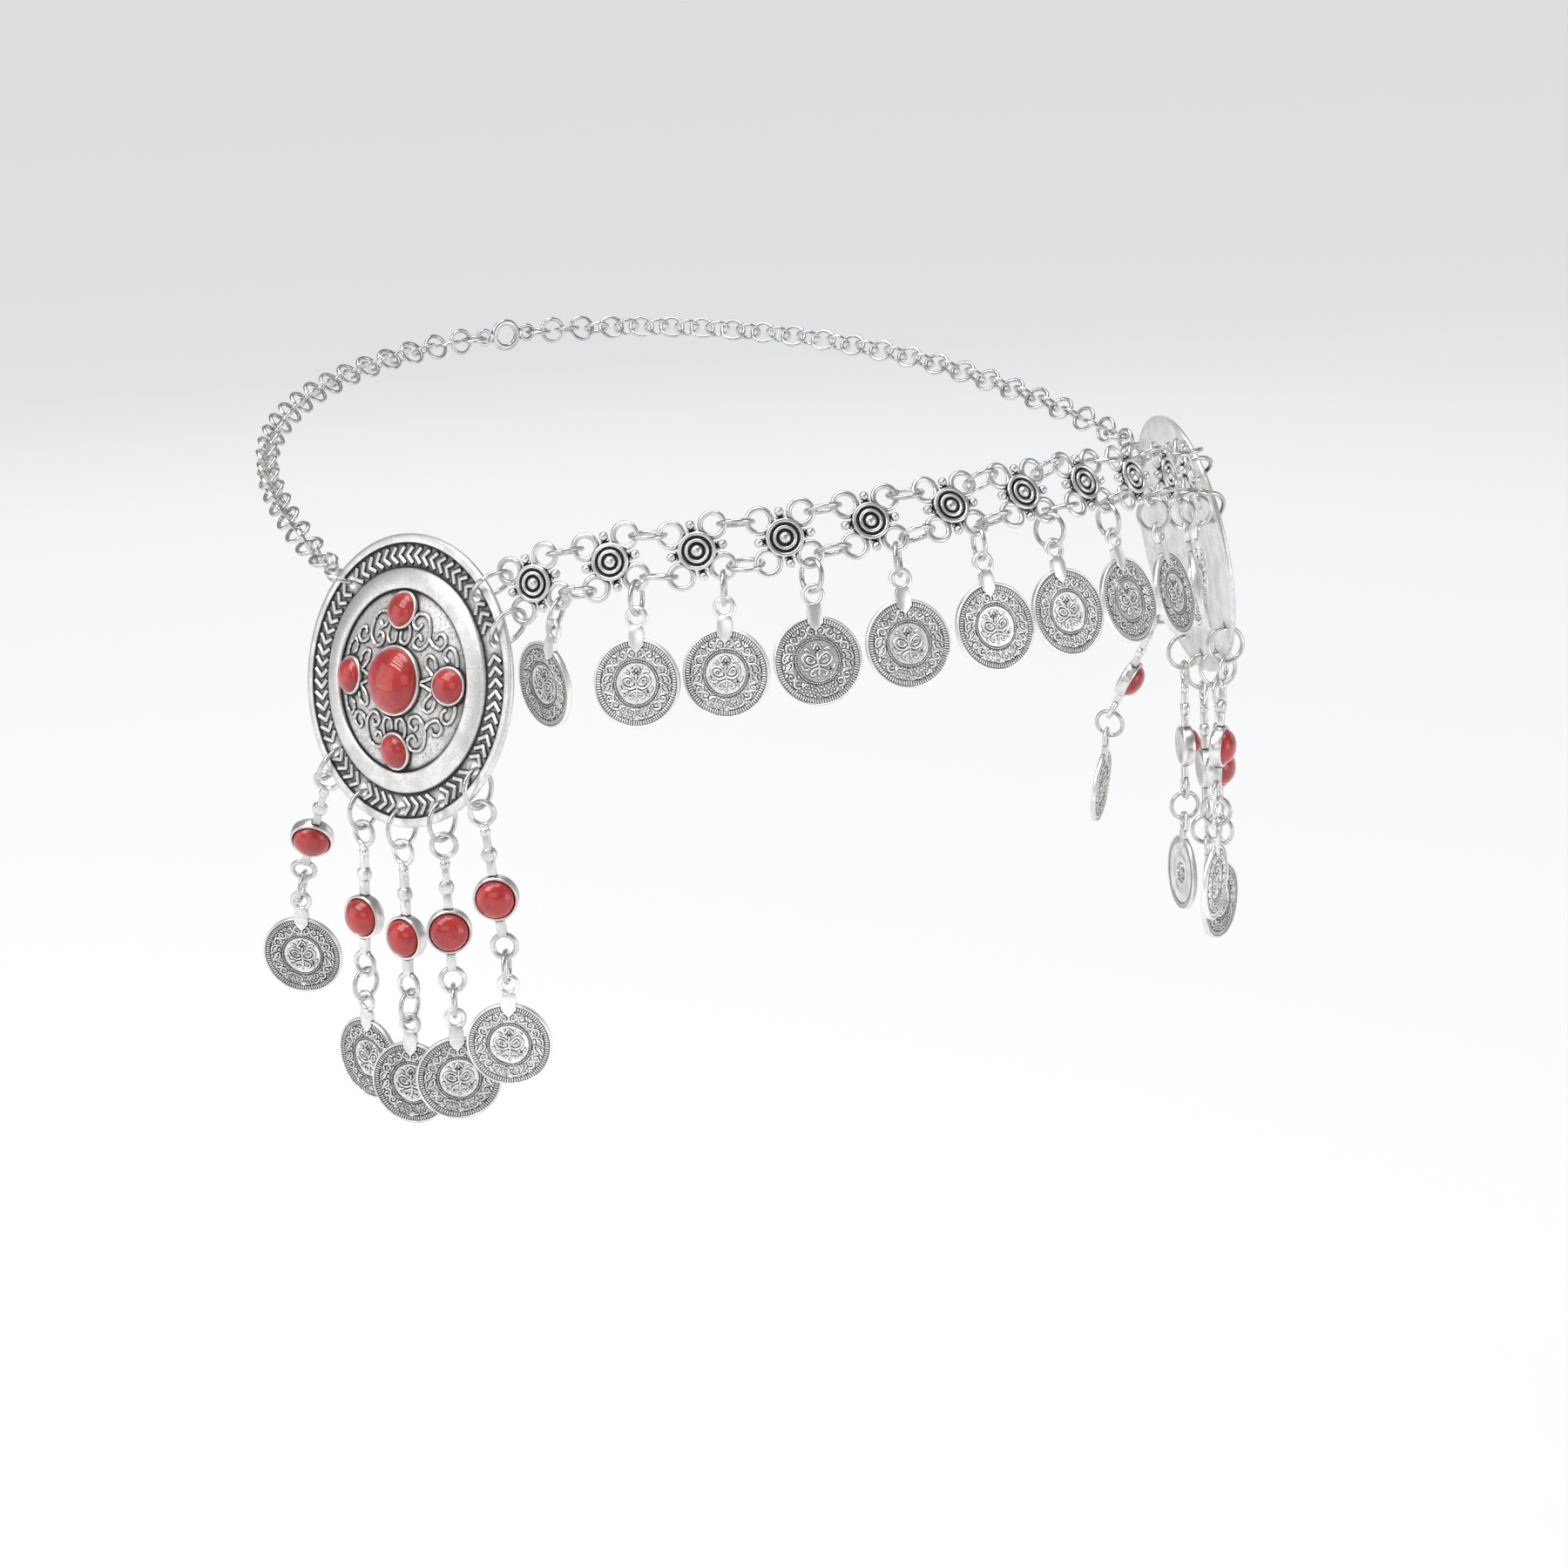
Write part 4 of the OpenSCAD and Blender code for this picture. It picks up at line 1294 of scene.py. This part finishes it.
@dataclass(frozen=True)
class StoneBar:
    """A drop's bar: an eye at each end, a small ball, a small disc and a stone cup."""

    length: float = Drops.bar_length
    eye_r: float = 2.2
    eye_wire: float = 1.0
    thickness: float = 1.4
    ball_d: float = 2.0
    ball_y: float = -3.6
    disc_y: float = -8.0
    cup_y: float = -16.3
    stone_d: float = 7.0
    cup: Line = (
        (0, -1.3), (3.4, -1.3), (3.95, -1.15), (4.18, -0.8), (4.22, -0.2), (4.22, 1.0),
        (4.14, 1.24), (3.95, 1.36), (3.74, 1.3), (3.6, 1.12), (3.6, -0.5), (0, -0.5))
    disc: Line = (
        (0, -0.75), (1.2, -0.75), (1.44, -0.5), (1.46, 0.3), (1.38, 0.55), (1.1, 0.82),
        (0.8, 0.9), (0, 0.92))
    runs: tuple[Point, ...] = (
        (-2.0, -3.2, 1.4), (-4.0, -7.1, 1.35), (-9.0, -12.6, 1.55), (-20.0, -23.9, 1.75))

    def shape(self) -> Mesh:
        """One bar about the middle of its upper eye."""
        cast = Casting()
        eye = Stamp().hoop(self.eye_r, self.eye_wire, 36, 12).mesh()
        for y in (0, -self.length):
            cast.add(eye, (0, y, 0))
        for top, low, width in self.runs:
            run = Stamp().block((width, top - low, self.thickness), 0.22, 2).mesh()
            cast.add(run, (0, (top + low) / 2, 0))
        cast.add(Stamp().ball(self.ball_d, 3, 0.88).mesh(), (0, self.ball_y, 0.05))
        cast.add(Stamp().lathe(self.disc, 32).mesh(), (0, self.disc_y, 0))
        cast.add(Stamp().lathe(self.cup, 64).mesh(), (0, self.cup_y, 0))
        return cast.mesh()

    def stone(self) -> Mesh:
        """The bar's stone about the same middle."""
        stone = dome_profile(self.stone_d / 2, base=-0.4, girdle=1.5, rise=2.3, points=12)
        return Stamp().lathe(stone, 56).shift(0, self.cup_y).mesh()


@dataclass(frozen=True)
class BackChain:
    """The chain from one medallion to the middle of the back."""

    loop: HeadLoop
    temple: Temple
    start: float = 128.5
    settle: float = 50.0
    stand: float = 0.8
    rise: float = 8.0
    clasp_half: float = 5.2
    link_d: float = 4.9
    link_wire: float = 0.95
    shown_wire: float = 0.84
    ring_d: float = 6.4
    play: float = 0.45
    clasp_play: float = 0.2
    hole_rest: float = 0.2
    roll: float = 45.0
    turn_links: int = 6

    def out(self, s: float, roll: float = 0.0) -> Vector:
        """Direction away from the head at a length along the loop."""
        return outward(self.temple.side * self.loop.walk(s)[0], roll)

    def _stand_off(self, s: float) -> Vector:
        """Point of the loop, a little away from the head."""
        return self.loop.at(self.temple.side * s) + self.stand * self.out(s)

    def spot(self, s: float) -> Vector:
        """Point of the chain's route at a length along the loop."""
        hole = self.temple.hole(self.temple.chain_hole)
        t = min(max((s - self.start) / self.settle, 0), 1)
        pull = 1 - t * t * (3 - 2 * t)
        point = self._stand_off(s) + pull * (hole - self._stand_off(self.start))
        up = sin(90 * (s - self.start) / (self.loop.half_length() - self.start))
        return Vector((point.x, point.y, hole.z + (self.rise - hole.z) * up))

    def links(self) -> list[Move]:
        """Length along the loop and roll of every link."""
        first = (self.start + self.hole_rest + self.ring_d
                 + (self.link_d - Ring.wire - self.link_wire) / 2 - self.play)
        last = (self.loop.half_length() - self.clasp_half - self.link_d / 2
                - self.clasp_play)
        step = self.link_d - self.link_wire - self.play
        count = 2 * math.ceil(((last - first) / step + 1) / 2)
        out = []
        for k in range(count):
            share = max(0, 1 - k / self.turn_links, 1 - (count - 1 - k) / self.turn_links)
            roll = (self.roll if k % 2 == 0 else -self.roll) + self.roll * share
            out.append((first + k * (last - first) / (count - 1), roll))
        return out

    def casting(self) -> Casting:
        """All the links of the chain, in the row's frame."""
        cast = Casting()
        link = Ring(self.link_d, self.shown_wire, 32, 9)
        for k, (s, roll) in enumerate(self.links()):
            link.between(cast, self.spot(s - 0.5), self.spot(s + 0.5), self.out(s, roll),
                         cut_at=90 + 37 * (k % 5 - 2))
        return cast


@dataclass(frozen=True)
class Clasp:
    """The plain clasp behind the head: a flat ring with a small eye at each end."""

    reach: float = BackChain.clasp_half
    ring_r: float = 2.75
    ring_wire: float = 1.5
    eye_r: float = 1.55
    eye_wire: float = 0.9
    neck: Point = (1.0, 1.6, 1.0)
    neck_x: float = 3.5

    def casting(self, loop: HeadLoop) -> Casting:
        """The clasp in the row's frame."""
        shape = Casting().add(Stamp().hoop(self.ring_r, self.ring_wire, 48, 12,
                                           flat=0.8).mesh())
        for x in (-1, 1):
            eye = Stamp().hoop(self.eye_r, self.eye_wire, 32).mesh()
            shape.add(eye, (x * self.reach, 0, 0))
            shape.add(Stamp().block(self.neck, 0.25, 2).mesh(), (x * self.neck_x, 0, 0))
        spot = Vector((0, loop.half_depth() + BackChain.stand, BackChain.rise))
        return Casting().add(shape.mesh(), spot, turned("X", 90))


class HeadChain:
    """The whole head chain, built sub-assembly by sub-assembly."""

    def __init__(self, looks: Looks) -> None:
        """Keeps the looks and works out the loop."""
        self.looks = looks
        self.loop = HeadLoop()
        self.band = Band(self.loop)
        self.temples = (Temple(-1, "right", 89.1, 12.2), Temple(1, "left", 88.2, 8.0))
        self.coin = Coin().shape()

    def connectors(self) -> None:
        """Twelve flower connectors."""
        shape = Connector().shape()
        for i in range(len(LIES)):
            piece(f"flower_connector_{i + 1:02d}", Casting().put(shape, self.band.connector(i)),
                  self.looks.cast, f"connector_{i + 1:02d}")

    def band_coins(self) -> None:
        """The coin under each connector but the last."""
        for i, lie in enumerate(LIES[:-1]):
            piece(f"hanging_coin_{i + 1:02d}", Casting().put(self.coin, self.band.coin(i)),
                  self.looks.coin[lie.tone], f"coin_{i + 1:02d}")

    def band_rings(self) -> None:
        """The rings between the connectors, and those that carry the coins."""
        band, joins, hangs = self.band, Casting(), Casting()
        wide, narrow = Ring(band.band_ring_d), Ring(band.ring_d)
        # The saw cuts of neighbouring rings face different ways.
        for i, lie in enumerate(LIES[:-1]):
            middle = self.loop.heading((band.length(i) + band.length(i + 1)) / 2)
            for y, roll in ((1, lie.top_roll), (-1, lie.low_roll)):
                wide.between(joins, band.corner(i, 1, y), band.corner(i + 1, -1, y),
                             outward(middle, roll), cut_at=70 + 50 * (i % 5))
            side = (band.coin_hang(i) @ turned("Y", lie.coin_roll)).col[2]
            narrow.between(hangs, band.corner(i, 1, -1), band.coin(i).point, side,
                           cut_at=100 + 35 * (i % 4), rest=band.loop_rest)
        piece("band_jump_rings", joins, self.looks.wire, "band_rings")
        piece("coin_jump_rings", hangs, self.looks.wire, "coin_rings")

    def medallions(self) -> None:
        """Both medallions, their stones and the rings at their edges."""
        made, band, rings = Medallion(), self.band, Casting()
        end_ring, chain_ring = Ring(band.end_ring_d), Ring(BackChain.ring_d)
        for temple in self.temples:
            place = temple.place()
            piece(f"temple_medallion_{temple.word}", made.casting(temple).moved(place.matrix()),
                  self.looks.medallion, f"medallion_{temple.word}")
            piece(f"medallion_red_stones_{temple.word}", made.stones().moved(place.matrix()),
                  self.looks.stone, f"medallion_stones_{temple.word}")
            normal = place.turn.col[2]
            end = 0 if temple.side < 0 else len(LIES) - 1
            for k, angle in enumerate(temple.band_holes):
                end_ring.between(rings, band.corner(end, temple.side, 1 - 2 * k),
                                 temple.hole(angle), normal, cut_at=90 + 60 * k,
                                 rest=band.end_rest)
            chain = BackChain(self.loop, temple)
            chain_ring.between(rings, temple.hole(temple.chain_hole),
                               chain.spot(chain.start + 5), normal, cut_at=130,
                               rest=chain.hole_rest)
        piece("medallion_jump_rings", rings, self.looks.wire, "medallion_rings")

    def drops(self) -> None:
        """The five stone bars under each medallion with their rings, stones and coins."""
        bar, tones = StoneBar(), list(CoinTone)
        bar_shape, stone_shape = bar.shape(), bar.stone()
        upper, lower = Ring(Drops.drop_ring_d), Ring(Drops.ring_d)
        for temple in self.temples:
            word, drops = temple.word, Drops(temple)
            stones, rings, coins = Casting(), Casting(), Casting()
            for i, swing in enumerate(SWINGS):
                place, hung = drops.bar(i), drops.coin(i)
                piece(f"stone_bar_{word}_{i + 1}", Casting().put(bar_shape, place),
                      self.looks.cast, f"drop_bar_{word}_{i + 1}")
                stones.put(stone_shape, place)
                high, low = drops.ring(i), drops.low_ring(i)
                upper.between(rings, high.point, place.point, high.turn.col[2],
                              cut_at=60 + 45 * i, rest=drops.hole_rest)
                lower.between(rings, low.point, hung.point, low.turn.col[2],
                              cut_at=80 + 55 * i, rest=drops.bar_rest)
                coins.put(self.coin, hung, tones.index(swing.tone))
            piece(f"drop_red_stones_{word}", stones, self.looks.stone, f"drop_stones_{word}")
            piece(f"drop_jump_rings_{word}", rings, self.looks.wire, f"drop_rings_{word}")
            piece(f"drop_hanging_coins_{word}", coins, self.looks.any_coin,
                  f"drop_coins_{word}")

    def chains(self) -> None:
        """The back chain on each side and the clasp that joins them."""
        for temple in self.temples:
            piece(f"link_chain_{temple.word}", BackChain(self.loop, temple).casting(),
                  self.looks.wire, f"back_chain_{temple.word}")
        piece("hook_clasp", Clasp().casting(self.loop), self.looks.wire, "clasp")


@dataclass(frozen=True)
class Lamp:
    """A rectangular lamp that faces the head chain."""

    name: str
    at: Point
    size: Move
    power: float

    def light(self) -> None:
        """Puts the lamp in the scene, out of the camera's sight."""
        data = bpy.data.lights.new(self.name, "AREA")
        data.shape, data.size, data.size_y = "RECTANGLE", *self.size
        data.energy = self.power
        lamp = in_scene(self.name, data)
        lamp.location = self.at
        lamp.visible_camera = False
        lamp.rotation_euler = Vector(self.at).to_track_quat("Z", "Y").to_euler()


@dataclass(frozen=True)
class Studio:
    """Pale floor, soft lights and the camera at the photograph's angle."""

    floor_z: float = -0.30
    floor_half: float = 12.0
    floor_tone: Point = (0.88, 0.88, 0.875)
    floor_roughness: float = 0.75
    sky_tone: Point = (0.93, 0.95, 1.0)
    sky_power: float = 0.34
    sun_power: float = 1.65
    sun_width: float = 40.0
    key_reach: float = 1.3
    key_y: float = -0.05
    key_rises: tuple[float, ...] = (32, 41, 50, 59)
    key_size: Move = (0.75, 0.07)
    key_power: float = 1.9
    azimuth: float = -30.6
    elevation: float = 15.7
    roll: float = 2.31
    lens: float = 86.93
    sensor: float = 36.0
    eye: Point = (-0.37346, -0.64951, 0.13621)
    lamps: tuple[Lamp, ...] = (
        Lamp("front_left", (-1.25, -1.1, 0.4), (1.0, 0.6), 2.0),
        Lamp("front_right", (0.8, -1.5, 0.45), (1.0, 0.6), 2.0),
        Lamp("front_low", (0.75, -1.5, -0.02), (1.2, 0.5), 3.4),
        Lamp("side", (-1.5, 0.55, 0.2), (1.1, 0.9), 3.0),
        Lamp("far_side", (1.5, 0.1, 0.3), (0.9, 0.7), 1.3),
        Lamp("back", (0.6, 1.5, 0.6), (1.2, 0.8), 2.2))

    def floor(self) -> None:
        """A wide, plain and pale floor."""
        bm = bmesh.new()
        bmesh.ops.create_grid(bm, x_segments=4, y_segments=4, size=self.floor_half,
                              matrix=Matrix.Translation((0, 0, self.floor_z)))
        made = in_scene("floor", baked("floor", bm))
        material, _, shader = new_material("pale_floor")
        shader.inputs["Base Color"].default_value = (*self.floor_tone, 1)
        shader.inputs["Roughness"].default_value = self.floor_roughness
        made.data.materials.append(material)

    def lights(self) -> None:
        """Large soft lamps, a key lamp in four bars, and an even pale surround."""
        world = bpy.data.worlds.new("surround")
        bpy.context.scene.world = world
        world.use_nodes = True
        sky = world.node_tree.nodes["Background"].inputs
        sky["Color"].default_value = (*self.sky_tone, 1)
        sky["Strength"].default_value = self.sky_power
        bpy.context.scene.view_settings.view_transform = "Standard"
        sun = bpy.data.lights.new("overhead", "SUN")
        sun.energy, sun.angle = self.sun_power, math.radians(self.sun_width)
        in_scene("overhead", sun)
        for lamp in self.lamps:
            lamp.light()
        for k, rise in enumerate(self.key_rises, 1):
            at = (-self.key_reach * cos(rise), self.key_y, self.key_reach * sin(rise))
            Lamp(f"key_bar_{k}", at, self.key_size, self.key_power).light()

    def camera(self) -> None:
        """The camera, turned and rolled as the photograph was taken."""
        az, el = self.azimuth, self.elevation
        back = Vector((sin(az) * cos(el), -cos(az) * cos(el), sin(el)))
        right = Vector((0, 0, 1)).cross(back).normalized()
        up = back.cross(right)
        rolled_right = cos(self.roll) * right - sin(self.roll) * up
        rolled_up = sin(self.roll) * right + cos(self.roll) * up
        data = bpy.data.cameras.new("camera")
        data.lens, data.sensor_width = self.lens, self.sensor
        made = in_scene("camera", data)
        made.matrix_world = (Matrix.Translation(Vector(self.eye))
                             @ columns(rolled_right, rolled_up, back).to_4x4())
        bpy.context.scene.camera = made


def main() -> None:
    """Builds the studio and the head chain."""
    logging.basicConfig(level=logging.INFO, format="%(name)s: %(message)s")
    studio = Studio()
    studio.camera()
    studio.lights()
    studio.floor()
    chain = HeadChain(Looks())
    chain.connectors()
    chain.band_coins()
    chain.band_rings()
    chain.medallions()
    chain.drops()
    chain.chains()
    bpy.context.view_layer.update()


if __name__ == "__main__":
    main()
